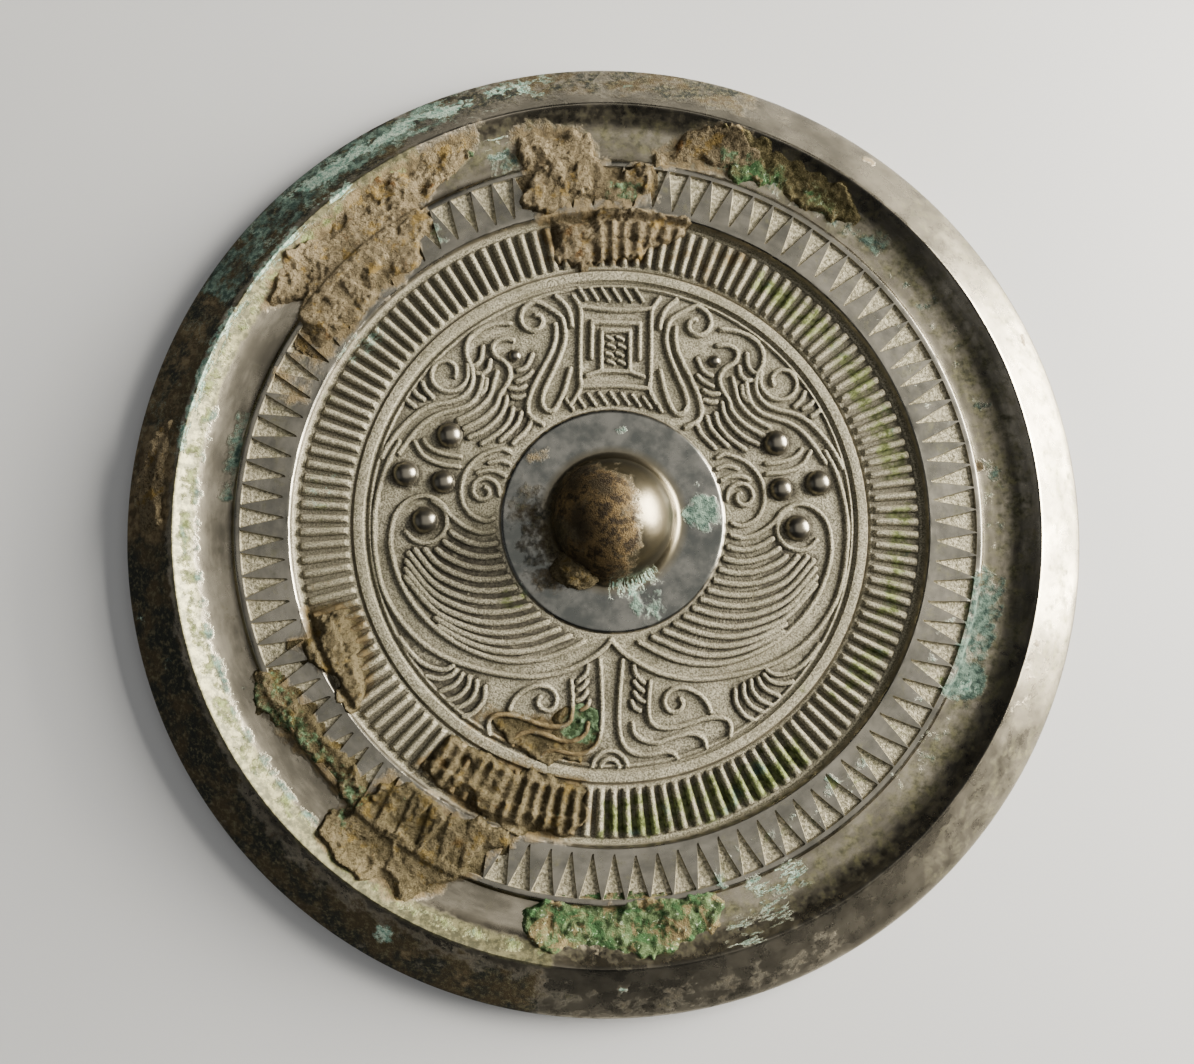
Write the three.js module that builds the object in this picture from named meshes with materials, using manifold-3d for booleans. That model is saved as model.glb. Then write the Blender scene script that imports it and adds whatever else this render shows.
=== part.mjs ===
// An ancient cast bronze mirror, lying on its polished face with the ornamented back up.
// Millimetres, +Z up. The origin is the centre of the flat spot it rests on, and +Y is the
// direction in which the ornament stands upright.

import * as THREE from 'three';
import { mergeVertices } from 'three/addons/utils/BufferGeometryUtils.js';
import Module from 'manifold-3d';

const wasm = await Module();
wasm.setup();

// ---------------------------------------------------------------- driving dimensions

const MIRROR_RADIUS = 60;
const REST_RADIUS = 20; // flat spot of the polished face
const FACE_CURVE_RADIUS = 900; // the polished face is slightly convex beyond the flat spot
const EDGE_THICKNESS = 1.0;

const CREST_RADIUS = 52.9; // sharp crest of the triangular rim
const CREST_Z = 7.3;
const COVE_RADIUS = 51.2; // hollow slope inside the crest
const COVE_Z = 5.5;
const TROUGH_OUTER_RADIUS = 48.9; // plain trough between the rim and the bands
const TROUGH_INNER_RADIUS = 46.7;
const TROUGH_Z = 4.5;

const TOOTH_BAND_OUTER = 46.3; // polished band with sunken triangles
const TOOTH_BAND_INNER = 39.6;
const TOOTH_BAND_Z = 5.2;
const TOOTH_COUNT = 100;
const TOOTH_BASE_RADIUS = 45.5;
const TOOTH_TIP_RADIUS = 40.5;
const TOOTH_FILL = 0.86; // share of the pitch that a triangle's base takes
const TOOTH_DEPTH = 0.45;

const COMB_STEP_RADIUS = 39.1; // foot of the step below the tooth band
const COMB_FLOOR_Z = 3.95;
const COMB_OUTER = 38.5;
const COMB_INNER = 32.8;
const COMB_COUNT = 140;
const COMB_WIDTH = 1.15;
const COMB_HEIGHT = 0.65;

const RING_OUTER = 32.2; // plain ring around the main field
const RING_INNER = 30.7;
const RING_Z = 4.25;
const FIELD_Z = 3.8;

const BOSS_RADIUS = 13.8; // smooth disc around the knob
const BOSS_Z = 4.15;
const BOSS_BEVEL = 0.3;
const KNOB_RADIUS = 7.6;
const KNOB_HEIGHT = 8.8; // above the disc
const KNOB_FLARE = 1.1; // how far the foot of the knob spreads
const BORE_WIDTH = 5.4; // cord hole through the knob, along Y
const BORE_HEIGHT = 5.4;

const PATTERN_TURN = THREE.MathUtils.degToRad(-0.9);
const LINE_WIDTH = 0.75; // raised lines of the ornament, at their foot
const LINE_HEIGHT = 0.45;

const SPIRAL_STEP = 55; // degrees between the points of a spiral
const RIM_SEGMENTS = 80;
const RING_SEGMENTS = 64;
const KNOB_SEGMENTS = 36;
const NIPPLE_SEGMENTS = 8;

const BRONZE = { color: 0x6f675b, roughness: 0.42, metalness: 0.85 };

// ---------------------------------------------------------------- solids

function toSolid(geometry) {
  const bare = geometry.index ? geometry : geometry.clone();
  bare.deleteAttribute('normal');
  bare.deleteAttribute('uv');
  const merged = mergeVertices(bare, 1e-4);
  return new wasm.Manifold(new wasm.Mesh({
    numProp: 3,
    vertProperties: new Float32Array(merged.attributes.position.array),
    triVerts: new Uint32Array(merged.index.array),
  }));
}

// A turned solid about Z. The profile runs from the axis below to the axis above.
function turned(profile, segments) {
  const points = profile.map(([radius, z]) => new THREE.Vector2(radius, z));
  const geometry = new THREE.LatheGeometry(points, segments);
  geometry.rotateX(Math.PI / 2);
  return toSolid(geometry);
}

function prism(outline, bottom, top) {
  const shape = new THREE.Shape(outline.map(([x, y]) => new THREE.Vector2(x, y)));
  const geometry = new THREE.ExtrudeGeometry(shape, { depth: top - bottom, bevelEnabled: false });
  geometry.translate(0, 0, bottom);
  return toSolid(geometry);
}

function polar(radius, angle) {
  return [radius * Math.cos(angle), radius * Math.sin(angle)];
}

function faceZ(radius) {
  if (radius <= REST_RADIUS) return 0;
  return (radius ** 2 - REST_RADIUS ** 2) / (2 * FACE_CURVE_RADIUS);
}

// Body of the mirror: convex face, rim, trough, tooth band and the floor of the field.
function plate() {
  const middle = (REST_RADIUS + MIRROR_RADIUS) / 2;
  return turned([
    [0, 0],
    [REST_RADIUS, 0],
    [middle, faceZ(middle)],
    [MIRROR_RADIUS, faceZ(MIRROR_RADIUS)],
    [MIRROR_RADIUS, faceZ(MIRROR_RADIUS) + EDGE_THICKNESS],
    [CREST_RADIUS, CREST_Z],
    [COVE_RADIUS, COVE_Z],
    [TROUGH_OUTER_RADIUS, TROUGH_Z],
    [TROUGH_INNER_RADIUS, TROUGH_Z],
    [TOOTH_BAND_OUTER, TOOTH_BAND_Z],
    [TOOTH_BAND_INNER, TOOTH_BAND_Z],
    [COMB_STEP_RADIUS, COMB_FLOOR_Z],
    [RING_OUTER + 0.35, COMB_FLOOR_Z],
    [RING_OUTER + 0.25, FIELD_Z],
    [0, FIELD_Z],
  ], RIM_SEGMENTS);
}

function plainRing() {
  const bevel = 0.2;
  return turned([
    [RING_INNER, FIELD_Z],
    [RING_OUTER, FIELD_Z],
    [RING_OUTER - bevel, RING_Z],
    [RING_INNER + bevel, RING_Z],
    [RING_INNER, FIELD_Z],
  ], RING_SEGMENTS);
}

// Sunken triangles: each stands on the outer side of the band and points to the centre.
function toothCuts() {
  const pitch = (2 * Math.PI) / TOOTH_COUNT;
  const halfBase = (pitch * TOOTH_FILL) / 2;
  const cuts = [];
  for (let i = 0; i < TOOTH_COUNT; i++) {
    const angle = i * pitch;
    cuts.push(prism([
      polar(TOOTH_BASE_RADIUS, angle - halfBase),
      polar(TOOTH_BASE_RADIUS, angle + halfBase),
      polar(TOOTH_TIP_RADIUS, angle),
    ], TOOTH_BAND_Z - TOOTH_DEPTH, TOOTH_BAND_Z + 1));
  }
  return cuts;
}

// A straight roof-shaped ridge with hipped ends, between two points of the plan.
function roof(start, end, width, bottom, top, hip) {
  const along = new THREE.Vector2(end[0] - start[0], end[1] - start[1]);
  const length = along.length();
  const section = new THREE.Shape([
    new THREE.Vector2(-width / 2, bottom),
    new THREE.Vector2(width / 2, bottom),
    new THREE.Vector2(0, top),
  ]);
  const geometry = new THREE.ExtrudeGeometry(section, { depth: length, bevelEnabled: false });
  const position = geometry.attributes.position;
  for (let i = 0; i < position.count; i++) {
    if (position.getY(i) < top - 1e-6) continue;
    position.setZ(i, position.getZ(i) < length / 2 ? hip : length - hip);
  }
  geometry.rotateX(Math.PI / 2);
  geometry.rotateZ(along.angle() + Math.PI / 2);
  geometry.translate(start[0], start[1], 0);
  return toSolid(geometry);
}

function combRidges() {
  const ridges = [];
  const hip = COMB_HEIGHT / 2;
  for (let i = 0; i < COMB_COUNT; i++) {
    const angle = (2 * Math.PI * i) / COMB_COUNT;
    ridges.push(roof(
      polar(COMB_INNER, angle), polar(COMB_OUTER, angle),
      COMB_WIDTH, COMB_FLOOR_Z, COMB_FLOOR_Z + COMB_HEIGHT, hip,
    ));
  }
  return ridges;
}

function knob() {
  const profile = [
    [0, FIELD_Z],
    [BOSS_RADIUS + BOSS_BEVEL, FIELD_Z],
    [BOSS_RADIUS, BOSS_Z],
    [KNOB_RADIUS + KNOB_FLARE, BOSS_Z],
  ];
  const foot = 0.14; // where the dome leaves its flared foot, as a share of a quarter turn
  const steps = 6;
  for (let i = 0; i <= steps; i++) {
    const turn = (foot + ((1 - foot) * i) / steps) * (Math.PI / 2);
    profile.push([KNOB_RADIUS * Math.cos(turn), BOSS_Z + KNOB_HEIGHT * Math.sin(turn)]);
  }
  profile[profile.length - 1][0] = 0;
  return turned(profile, KNOB_SEGMENTS);
}

// The cord hole: a flat floor level with the disc, upright sides and a round roof.
function boreCut() {
  const half = BORE_WIDTH / 2;
  const shape = new THREE.Shape();
  shape.moveTo(-half, 0);
  shape.lineTo(half, 0);
  shape.lineTo(half, BORE_HEIGHT - half);
  shape.absarc(0, BORE_HEIGHT - half, half, 0, Math.PI, false);
  shape.closePath();
  const length = 2 * (KNOB_RADIUS + KNOB_FLARE + 1);
  const geometry = new THREE.ExtrudeGeometry(shape, {
    depth: length, bevelEnabled: false, curveSegments: 8,
  });
  geometry.translate(0, 0, -length / 2);
  geometry.rotateX(Math.PI / 2);
  geometry.translate(0, 0, BOSS_Z);
  return toSolid(geometry);
}

// ---------------------------------------------------------------- ornament of the main field

// Points of a spiral about (x, y), from radius r0 at angle a0 to radius r1 at angle a1.
function spiral(x, y, r0, r1, a0, a1) {
  const turns = Math.max(3, Math.round(Math.abs(a1 - a0) / SPIRAL_STEP));
  const points = [];
  for (let i = 0; i <= turns; i++) {
    const t = i / turns;
    const [dx, dy] = polar(r0 + (r1 - r0) * t, THREE.MathUtils.degToRad(a0 + (a1 - a0) * t));
    points.push([x + dx, y + dy]);
  }
  return points;
}

// Tail feathers: lines blended between an upper, a middle and a lower guide.
const FEATHER_GUIDES = [
  [[14.8, -1.6], [17.2, -1.8], [19.6, -0.4], [21.3, 1.6]],
  [[11.2, -9.7], [15.6, -10.5], [20.4, -9.2], [25.2, -4.6]],
  [[3.6, -15.2], [10.5, -17.6], [18.2, -15.9], [24.6, -10.5]],
];
const FEATHER_COUNT = 11; // between the upper and the lower guide
const EYE = { x: 23.3, y: -0.6, radius: 2.7, gap: 0.7 }; // ring around the lowest nipple

function feathers() {
  const [upper, middle, lower] = FEATHER_GUIDES;
  const lines = [];
  for (let k = 1; k <= FEATHER_COUNT; k++) {
    const t = (2 * k) / (FEATHER_COUNT + 1);
    const blend = [(t - 1) * (t - 2) / 2, t * (2 - t), (t * (t - 1)) / 2];
    const line = upper.map((point, i) => [0, 1].map((axis) => (
      blend[0] * point[axis] + blend[1] * middle[i][axis] + blend[2] * lower[i][axis])));
    const clear = ([x, y]) => Math.hypot(x - EYE.x, y - EYE.y) > EYE.radius + EYE.gap;
    const reach = k > FEATHER_COUNT - 2 ? line.length - 1 : line.length;
    lines.push(line.slice(0, reach).filter(clear));
  }
  return lines;
}

// Right-hand half of the ornament; the left-hand half is its mirror image.
const HALF_LINES = [
  // Square panel: flared side, inner frames and their foot.
  [[5.5, 28.7], [4.7, 27.5], [4.5, 26], [4.5, 18.2], [4.4, 17], [4.9, 15.6]],
  [[3.05, 25.4], [3.05, 20.7]],
  [[1.8, 24.4], [1.8, 19], [3.6, 18.4]],
  // Great volute: lip, spiral head with its hooked stem, and the line that follows it.
  [[7.7, 28.6], [6.6, 27.6], [5.85, 26.2], [5.6, 24.6]],
  [...spiral(10.3, 25.45, 0.6, 2.3, 100, 460), [7.1, 26], [6.5, 24.4], [6.45, 22.9],
    [7.6, 19.4], [8.5, 17.4], [9.1, 15.8], [9.1, 14.5], [8.2, 13.6], [7.2, 14.5], [6.4, 16.4],
    [5.7, 19.2]],
  [[7.7, 24.9], [7.6, 23.6], [8.6, 20.3], [9.6, 18.3], [10.7, 15.7], [10.9, 13.5], [9, 12]],
  // Phoenix: brow and neck, crest running on into the wing, and the plumes.
  [[13, 22.7], [14.2, 22.8], [15.5, 22], [15.2, 20.6], [13.6, 19.3], [13.4, 17.6], [14.5, 15.6],
    [15.2, 13.9], [16.6, 12.5], [18.9, 11.15]],
  [[13.4, 24.85], [16.8, 24.2], [18.75, 22.3], [18.8, 20.5], [18, 18.6], [18.2, 16.4],
    [20.5, 14.6], [24.2, 13.4], [26.6, 11], [28.9, 7.3]],
  [[16.7, 17.8], [17.1, 15.8], [18.6, 14.1], [21.8, 13], [24.6, 11], [26.8, 7.9]],
  [[14.9, 18.5], [15.6, 15.8], [17.4, 13.6], [19.6, 12.3]],
  [[13.6, 15.3], [14.5, 12.8], [16.1, 11.2], [18.2, 10.1]],
  [[12.8, 13.9], [13.6, 11.8], [16.6, 9.35]],
  [[11.7, 13.4], [12.6, 11.4], [14.3, 9.8]],
  [[10.5, 12.3], [11.1, 11.1], [12.7, 9.5]],
  [[16.8, 21.7], [17, 20.1], [18.1, 19.2]],
  // Spirals beside the plumes and beside the knob.
  spiral(21.2, 18.2, 2.8, 1.1, 155, 560),
  [[15.2, 8.4], [17.9, 6.6], [19, 3.6], [18.1, 0.7], [14.9, -0.1]],
  spiral(16.2, 3.3, 2, 0.5, 190, -240),
  // Arcs under the first nipple.
  [[19.2, 7.6], [22, 8.1], [23.8, 9.6]],
  [[19.3, 6.3], [22.8, 7], [24.9, 9.3]],
  // Tail: the line that comes from the eye, and the outer sweep that ends in the point.
  [...FEATHER_GUIDES[0], [23, 2.5], [24.8, 2.3], [26.8, 0.4], [27.4, -2.6], [26.7, -6.6],
    [23.3, -12.2], [17, -16.5], [13, -17.6], [9, -17.4], [3.4, -15.1]],
  [[26.8, 9.3], [28.9, 4.2], [29.5, -1.5], [28.2, -9], [23.9, -15], [17.5, -18.3], [9.6, -19.5],
    [5.6, -18.7], [2.3, -17], [0, -14.8]],
  spiral(EYE.x, EYE.y, EYE.radius, EYE.radius, 110, 330),
  // Foot: trunk, roots that hook against the ring, scroll and fans.
  [[1.4, -17.3], [1.05, -21.5], [1.15, -26], [2.6, -28.4], [6.6, -28.3], [8.3, -29]],
  [[4.85, -19.9], [4.65, -23], [5.3, -25.1], [7.4, -25.45], [12.8, -24.1], [14.7, -24.7],
    [14.7, -26.5]],
  [[2.7, -25], [3.7, -26.8], [5.9, -27.2], [9.6, -26.1], [11.4, -26.7], [11.8, -27.7]],
  [[12.3, -23.4], [11.1, -21.5], [9, -20.55], ...spiral(7.9, -22.1, 1.5, 0.9, 130, 380)],
  [[15.35, -20.8], [15.6, -22.6], [17.8, -24.4]],
  [[16.4, -20.1], [16.9, -22.1], [18.9, -23.4]],
  [[17.3, -19.6], [18, -21.5], [19.9, -22.5]],
  [[18.2, -19.3], [19.3, -20.8], [20.9, -21.3]],
  [[19.3, -18.3], [21.8, -18.6], [24.8, -16.4]],
];

// Lines that cross the middle.
const MIDDLE_LINES = [
  [[-4.6, 27.4], [0, 27], [4.6, 27.4]],
  [[-4.4, 16.9], [0, 17.1], [4.4, 16.9]],
  [[-3.05, 25.3], [3.05, 25.3]],
  [[-1.8, 24.3], [1.8, 24.3]],
  [[-1.8, 19], [1.8, 19]],
  spiral(0, -30.4, 2.1, 2.1, 0, 180),
];

const NIPPLES = [[20.6, 10.3, 1.6], [25.9, 5.3, 1.6], [21.2, 4.4, 1.45], [23.3, -0.5, 1.65],
  [12.7, 20.7, 0.8]];

// A raised line: a roof-shaped section drawn along a smooth curve through the points.
function raisedLine(points) {
  const curve = new THREE.CatmullRomCurve3(
    points.map(([x, y]) => new THREE.Vector3(x, y, FIELD_Z)),
  );
  const section = new THREE.Shape([
    new THREE.Vector2(0, -LINE_WIDTH / 2),
    new THREE.Vector2(0, LINE_WIDTH / 2),
    new THREE.Vector2(-LINE_HEIGHT, 0),
  ]);
  const steps = points.length - 1;
  return toSolid(new THREE.ExtrudeGeometry(section, {
    steps, extrudePath: curve, bevelEnabled: false,
  }));
}

function nipple([x, y, radius]) {
  const height = radius * 0.85;
  const profile = [[0, FIELD_Z], [radius, FIELD_Z]];
  const steps = 3;
  for (let i = 1; i <= steps; i++) {
    const turn = (i / steps) * (Math.PI / 2);
    profile.push([radius * Math.cos(turn), FIELD_Z + height * Math.sin(turn)]);
  }
  profile[profile.length - 1][0] = 0;
  return turned(profile, NIPPLE_SEGMENTS).translate([x, y, 0]);
}

// Short slanted strokes above and below the panel, all leaning the same way.
function hatching() {
  const strokes = [];
  const slant = 0.5;
  for (let x = -4.2; x <= 4; x += 1.45) {
    strokes.push([[x - slant, 29.7], [x + slant, 28.3]]);
  }
  for (let x = -5.6; x <= 5.7; x += 1.4) {
    const drop = x ** 2 / 34; // the row follows the disc around the knob
    strokes.push([[x - slant, 16.1 - drop], [x + slant, 14.9 - drop]]);
  }
  return strokes;
}

function ornament() {
  const half = [...HALF_LINES, ...feathers()];
  const other = half.map((line) => line.map(([x, y]) => [-x, y]));
  const lines = [...half, ...other, ...MIDDLE_LINES, ...hatching()].map(raisedLine);
  const bumps = NIPPLES.flatMap(([x, y, radius]) => [[x, y, radius], [-x, y, radius]]).map(nipple);
  return wasm.Manifold.union([...lines, ...bumps])
    .rotate([0, 0, THREE.MathUtils.radToDeg(PATTERN_TURN)]);
}

// ---------------------------------------------------------------- the mirror

function mirrorSolid() {
  const raised = wasm.Manifold.union([plate(), plainRing(), ...combRidges(), ornament(), knob()]);
  return raised.subtract(wasm.Manifold.union([...toothCuts(), boreCut()]));
}

function toGeometry(solid) {
  const mesh = solid.getMesh();
  const geometry = new THREE.BufferGeometry();
  geometry.setAttribute('position', new THREE.BufferAttribute(mesh.vertProperties, 3));
  geometry.setIndex(new THREE.BufferAttribute(mesh.triVerts, 1));
  geometry.computeVertexNormals();
  return geometry;
}

const mirror = new THREE.Mesh(
  toGeometry(mirrorSolid()),
  new THREE.MeshStandardMaterial(BRONZE),
);
mirror.name = 'mirror';

const group = new THREE.Group();
group.add(mirror);

export default group;
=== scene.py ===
"""Looks of an ancient cast bronze mirror that lies on its polished face, ornamented back up.

One closed bronze mesh takes the place of the CAD solid: a stack of rings round the Z axis, with
the fine relief of the back as real geometry. Patches of burial soil and of green corrosion lie
on it as closed pieces of their own. Sizes are in millimetres; MM turns them into metres.
"""
import math

import bpy
import numpy as np
from mathutils import Matrix, Vector


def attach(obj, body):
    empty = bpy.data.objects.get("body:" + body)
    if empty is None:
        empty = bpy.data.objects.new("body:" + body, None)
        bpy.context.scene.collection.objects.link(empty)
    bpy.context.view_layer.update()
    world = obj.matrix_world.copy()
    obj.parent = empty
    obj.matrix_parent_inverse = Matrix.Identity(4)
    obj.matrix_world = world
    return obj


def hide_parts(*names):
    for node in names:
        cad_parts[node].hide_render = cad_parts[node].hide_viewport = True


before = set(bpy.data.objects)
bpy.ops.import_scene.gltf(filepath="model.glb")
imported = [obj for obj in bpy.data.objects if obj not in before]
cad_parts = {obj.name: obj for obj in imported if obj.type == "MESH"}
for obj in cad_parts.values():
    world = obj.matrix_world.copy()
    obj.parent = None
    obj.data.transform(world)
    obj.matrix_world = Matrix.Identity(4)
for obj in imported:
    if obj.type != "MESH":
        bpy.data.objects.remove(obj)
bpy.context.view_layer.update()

MM = 0.001

# ---------- sizes of the casting

MIRROR_RADIUS = 60.0
EDGE_THICKNESS = 1.0
REST_RADIUS = 20.0       # flat spot that the mirror lies on
FACE_CURVE_RADIUS = 900.0

CREST_RADIUS, CREST_Z = 52.9, 7.3
TROUGH_OUTER, TROUGH_INNER, TROUGH_Z = 48.9, 46.7, 4.5
BAND_OUTER, BAND_INNER, BAND_Z = 46.3, 39.6, 5.2

TOOTH_COUNT = 100
TOOTH_BASE, TOOTH_TIP = 45.5, 40.45
TOOTH_FILL = 0.86        # share of the pitch that a triangle's base takes
TOOTH_DEPTH = 0.45
TOOTH_WALL = 0.05        # width of a triangle's wall, as a share of the pitch
TOOTH_REACH = 0.485      # how far from its middle a triangle's wall may end, in pitches

COMB_OUTER, COMB_INNER, COMB_FLOOR_Z = 39.1, 32.5, 3.95
COMB_COUNT = 140
COMB_HEIGHT = 0.7

RING_OUTER, RING_INNER, RING_Z = 32.2, 30.7, 4.25
FIELD_Z = 3.8
FIELD_OUTER, FIELD_INNER = 30.35, 14.25
THIN_RING_RADIUS, THIN_RING_HALF_WIDTH, THIN_RING_HEIGHT = 30.1, 0.28, 0.3

BOSS_Z = 4.15            # top of the smooth disc round the knob
KNOB_RADIUS, KNOB_HEIGHT, KNOB_FLARE = 7.6, 8.8, 1.1
KNOB_FOOT_SHARE = 0.16   # share of the dome's quarter turn that the flared foot takes
BORE_WIDTH, BORE_HEIGHT = 5.4, 5.4

PATTERN_TURN = math.radians(-0.9)
RIDGE_FLATNESS, RIDGE_ROUNDING = 2.6, 0.6    # section of the ornament's raised lines
DIRT_AND_SHADE_AT, DIRT_AND_SHADE_WIDTH = 1.1, 0.36              # foot of a line, in half widths from its middle

RIM_COLUMNS = 480
TOOTH_COLUMNS = 6        # for each tooth
COMB_SECTION = [         # one ridge: place in shares of the pitch, height in shares of the full
    (-0.5, 0.0), (-0.34, 0.0), (-0.27, 0.45), (-0.17, 0.85), (-0.06, 1.0), (0.06, 1.0),
    (0.17, 0.85), (0.27, 0.45), (0.34, 0.0),
]
RING_COLUMNS = 700
FIELD_COLUMNS = 1400
KNOB_COLUMNS = 300
FIELD_ROW = 0.14
TRIANGLE_BUDGET = 190000
SHARP_FROM = 34          # edges that meet at more degrees than this are drawn sharp
BACK_FROM_Z = 2.3        # everything above this height belongs to the ornamented back

# ---------- noise


def value_noise(x, y, size, seed):
    """Smooth noise from 0 to 1 over the plan, with bumps about `size` across."""
    cells = 128
    lattice = np.random.default_rng(seed).random((cells, cells))
    u = np.asarray(x) / size
    v = np.asarray(y) / size
    i = np.floor(u).astype(int)
    j = np.floor(v).astype(int)
    fu = u - i
    fv = v - j
    fu = fu * fu * (3 - 2 * fu)
    fv = fv * fv * (3 - 2 * fv)
    low = lattice[i % cells, j % cells] * (1 - fu) + lattice[(i + 1) % cells, j % cells] * fu
    high = (lattice[i % cells, (j + 1) % cells] * (1 - fu)
            + lattice[(i + 1) % cells, (j + 1) % cells] * fu)
    return low * (1 - fv) + high * fv


def rough(x, y, size, seed, octaves=4, gain=0.5):
    """Fractal noise from about -1 to 1."""
    total = 0.0
    weight = 1.0
    full = 0.0
    for octave in range(octaves):
        total = total + weight * (2 * value_noise(x, y, size / 2**octave, seed + octave) - 1)
        full += weight
        weight *= gain
    return total / full


def step_up(value, low, high):
    """Smooth step from 0 at `low` to 1 at `high`."""
    t = np.clip((np.asarray(value) - low) / (high - low), 0, 1)
    return t * t * (3 - 2 * t)


def plateau(value, low, full, fall, end):
    """Rises from 0 to 1 between `low` and `full` and falls back between `fall` and `end`."""
    return step_up(value, low, full) * (1 - step_up(value, fall, end))


def circle(radius, columns):
    """Points evenly spaced on a circle, as x and y."""
    angles = 2 * math.pi * np.arange(columns) / columns
    return radius * np.cos(angles), radius * np.sin(angles)


# ---------- ornament of the field


def spiral(x, y, r0, r1, a0, a1):
    """Points of a spiral about (x, y), from radius r0 at a0 degrees to r1 at a1 degrees."""
    count = max(4, round(abs(a1 - a0) / 30))
    points = []
    for i in range(count + 1):
        t = i / count
        radius = r0 + (r1 - r0) * t
        angle = math.radians(a0 + (a1 - a0) * t)
        points.append((x + radius * math.cos(angle), y + radius * math.sin(angle)))
    return points


EYE = (23.3, -0.6)       # ring round the lowest nipple
EYE_RADIUS = 2.7

FEATHER_GUIDES = [
    [(14.8, -1.6), (16.2, -1.9), (17.8, -1.5), (19.3, -0.6), (20.5, 0.5), (21.3, 1.6)],
    [(11.2, -9.7), (13.8, -10.3), (16.7, -10.35), (19.5, -9.6), (22.2, -8.1), (25.2, -4.6)],
    [(3.6, -15.2), (8.5, -17.2), (12.6, -17.6), (16.7, -16.5), (20.8, -14.4), (24.6, -10.5)],
]
FEATHER_COUNT = 11

# Each group: width and height of its raised lines, then the lines of the right-hand half.
PANEL = (0.7, 0.44, [
    [(5.5, 28.7), (4.8, 27.6), (4.5, 26.4), (4.5, 22), (4.45, 18), (4.35, 17), (4.9, 15.6),
     (5.6, 14.6)],
    [(-0.1, 26.95), (2.5, 27.1), (4.6, 27.35)],
    [(-0.1, 17.15), (2.2, 17.05), (4.4, 16.9)],
    [(-0.1, 25.3), (3.05, 25.3)],
    [(3.05, 25.4), (3.05, 20.7)],
    [(-0.1, 24.3), (1.8, 24.3)],
    [(1.8, 24.3), (1.8, 19)],
    [(-0.1, 19), (1.8, 19)],
    [(1.8, 19), (3.6, 18.4)],
])
VOLUTE = (0.76, 0.46, [
    [(7.7, 28.5), (6.9, 27.9), (6.2, 27), (5.8, 26), (5.6, 24.8)],
    [*spiral(10.3, 25.45, 0.6, 2.3, 100, 460), (7.1, 26), (6.5, 24.4), (6.45, 22.9), (6.9, 21.2),
     (7.6, 19.4), (8.5, 17.4), (9.1, 15.8), (9.15, 14.6), (8.6, 13.8), (7.7, 13.8), (7, 14.9),
     (6.4, 16.4), (6, 17.9), (5.7, 19.2)],
    [(7.7, 24.9), (7.6, 23.6), (7.9, 21.9), (8.6, 20.3), (9.6, 18.3), (10.4, 16.5), (10.9, 14.9),
     (10.9, 13.5), (10.3, 12.7), (9, 12)],
])
PHOENIX = (0.74, 0.44, [
    [(13, 22.7), (14.2, 22.8), (15.2, 22.4), (15.6, 21.6), (15.2, 20.6), (14.1, 19.9), (13.4, 19),
     (13.3, 17.9), (13.8, 16.7), (14.5, 15.6), (14.8, 14.5), (15.5, 13.5), (16.6, 12.5),
     (17.9, 11.7), (18.9, 11.15)],
    [(13.4, 24.85), (15, 24.75), (16.8, 24.2), (18.2, 23.2), (18.85, 21.9), (18.8, 20.5),
     (18.2, 19.2), (17.9, 17.8), (18.2, 16.4), (19.1, 15.3), (20.5, 14.6), (22.5, 14.15),
     (24.2, 13.4), (25.8, 12), (27.3, 10.2), (28.4, 8.4), (28.9, 7.3)],
    [(16.7, 17.8), (16.9, 16.5), (17.5, 15.1), (18.6, 14.1), (20.1, 13.5), (21.8, 13),
     (23.3, 12.2), (24.6, 11), (25.8, 9.4), (26.8, 7.9)],
    [(14.9, 18.5), (15.3, 17.1), (15.6, 15.8), (16.3, 14.6), (17.4, 13.6), (18.6, 12.8),
     (19.6, 12.3)],
])
PLUMES = (0.74, 0.38, [
    [(13.6, 15.3), (13.9, 13.9), (14.5, 12.8), (15.5, 11.7), (16.7, 10.8), (18.2, 10.1)],
    [(12.8, 13.9), (13.1, 12.7), (13.8, 11.5), (15, 10.4), (16.6, 9.35)],
    [(11.7, 13.4), (12.1, 12.2), (12.9, 11.1), (14.3, 9.8)],
    [(10.5, 12.3), (11.1, 11.1), (12.7, 9.5)],
    [(16.2, 17.5), (16.3, 16.4), (16.9, 15.6)],
    [(16.8, 21.7), (16.9, 20.4), (17.4, 19.5), (18.1, 19.2)],
    [(15.8, 20), (16, 18.9), (16.7, 18.3), (17.4, 18.3)],
    [(10.5, 20.9), (10.9, 19.9), (11.5, 19.1), (12.3, 18.8)],
    [(10.5, 18.7), (11.3, 17.9), (12.4, 17.4)],
    [(11.3, 16.8), (12.2, 16.4), (13.2, 16.45)],
    [(11.4, 15.6), (12.2, 15.3), (12.9, 15.4)],
    [(24.2, 16.9), (23.8, 16), (22.9, 15.1)],
    [(25.2, 15.7), (24.7, 15.2), (24, 14.8)],
    [(26.1, 14.6), (25.6, 14.2), (25.1, 13.9)],
])
SPIRALS = (0.68, 0.42, [
    spiral(21.2, 18.2, 2.8, 1.1, 155, 560),
    [(15.2, 8.4), (16.6, 7.8), (17.9, 6.6), (18.7, 5.2), (19, 3.6), (18.8, 2), (18.1, 0.7),
     (17, -0.1), (15.8, -0.4), (14.9, -0.1)],
    spiral(16.2, 3.3, 2, 0.5, 190, -240),
    [(13, 8.3), (14, 8.7), (15.2, 8.4)],
    [(13, 6.8), (14.2, 7.2), (15.6, 6.9)],
    [(13.5, 5.3), (14.6, 5.8), (16, 5.9), (17, 5.6)],
    [(19.2, 7.6), (20.6, 7.75), (22, 8.1), (23.2, 8.8), (23.8, 9.6)],
    [(19.3, 6.3), (21.2, 6.5), (22.8, 7), (24, 7.8), (24.9, 9.3)],
    spiral(*EYE, EYE_RADIUS, EYE_RADIUS, 110, 330),
])
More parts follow.
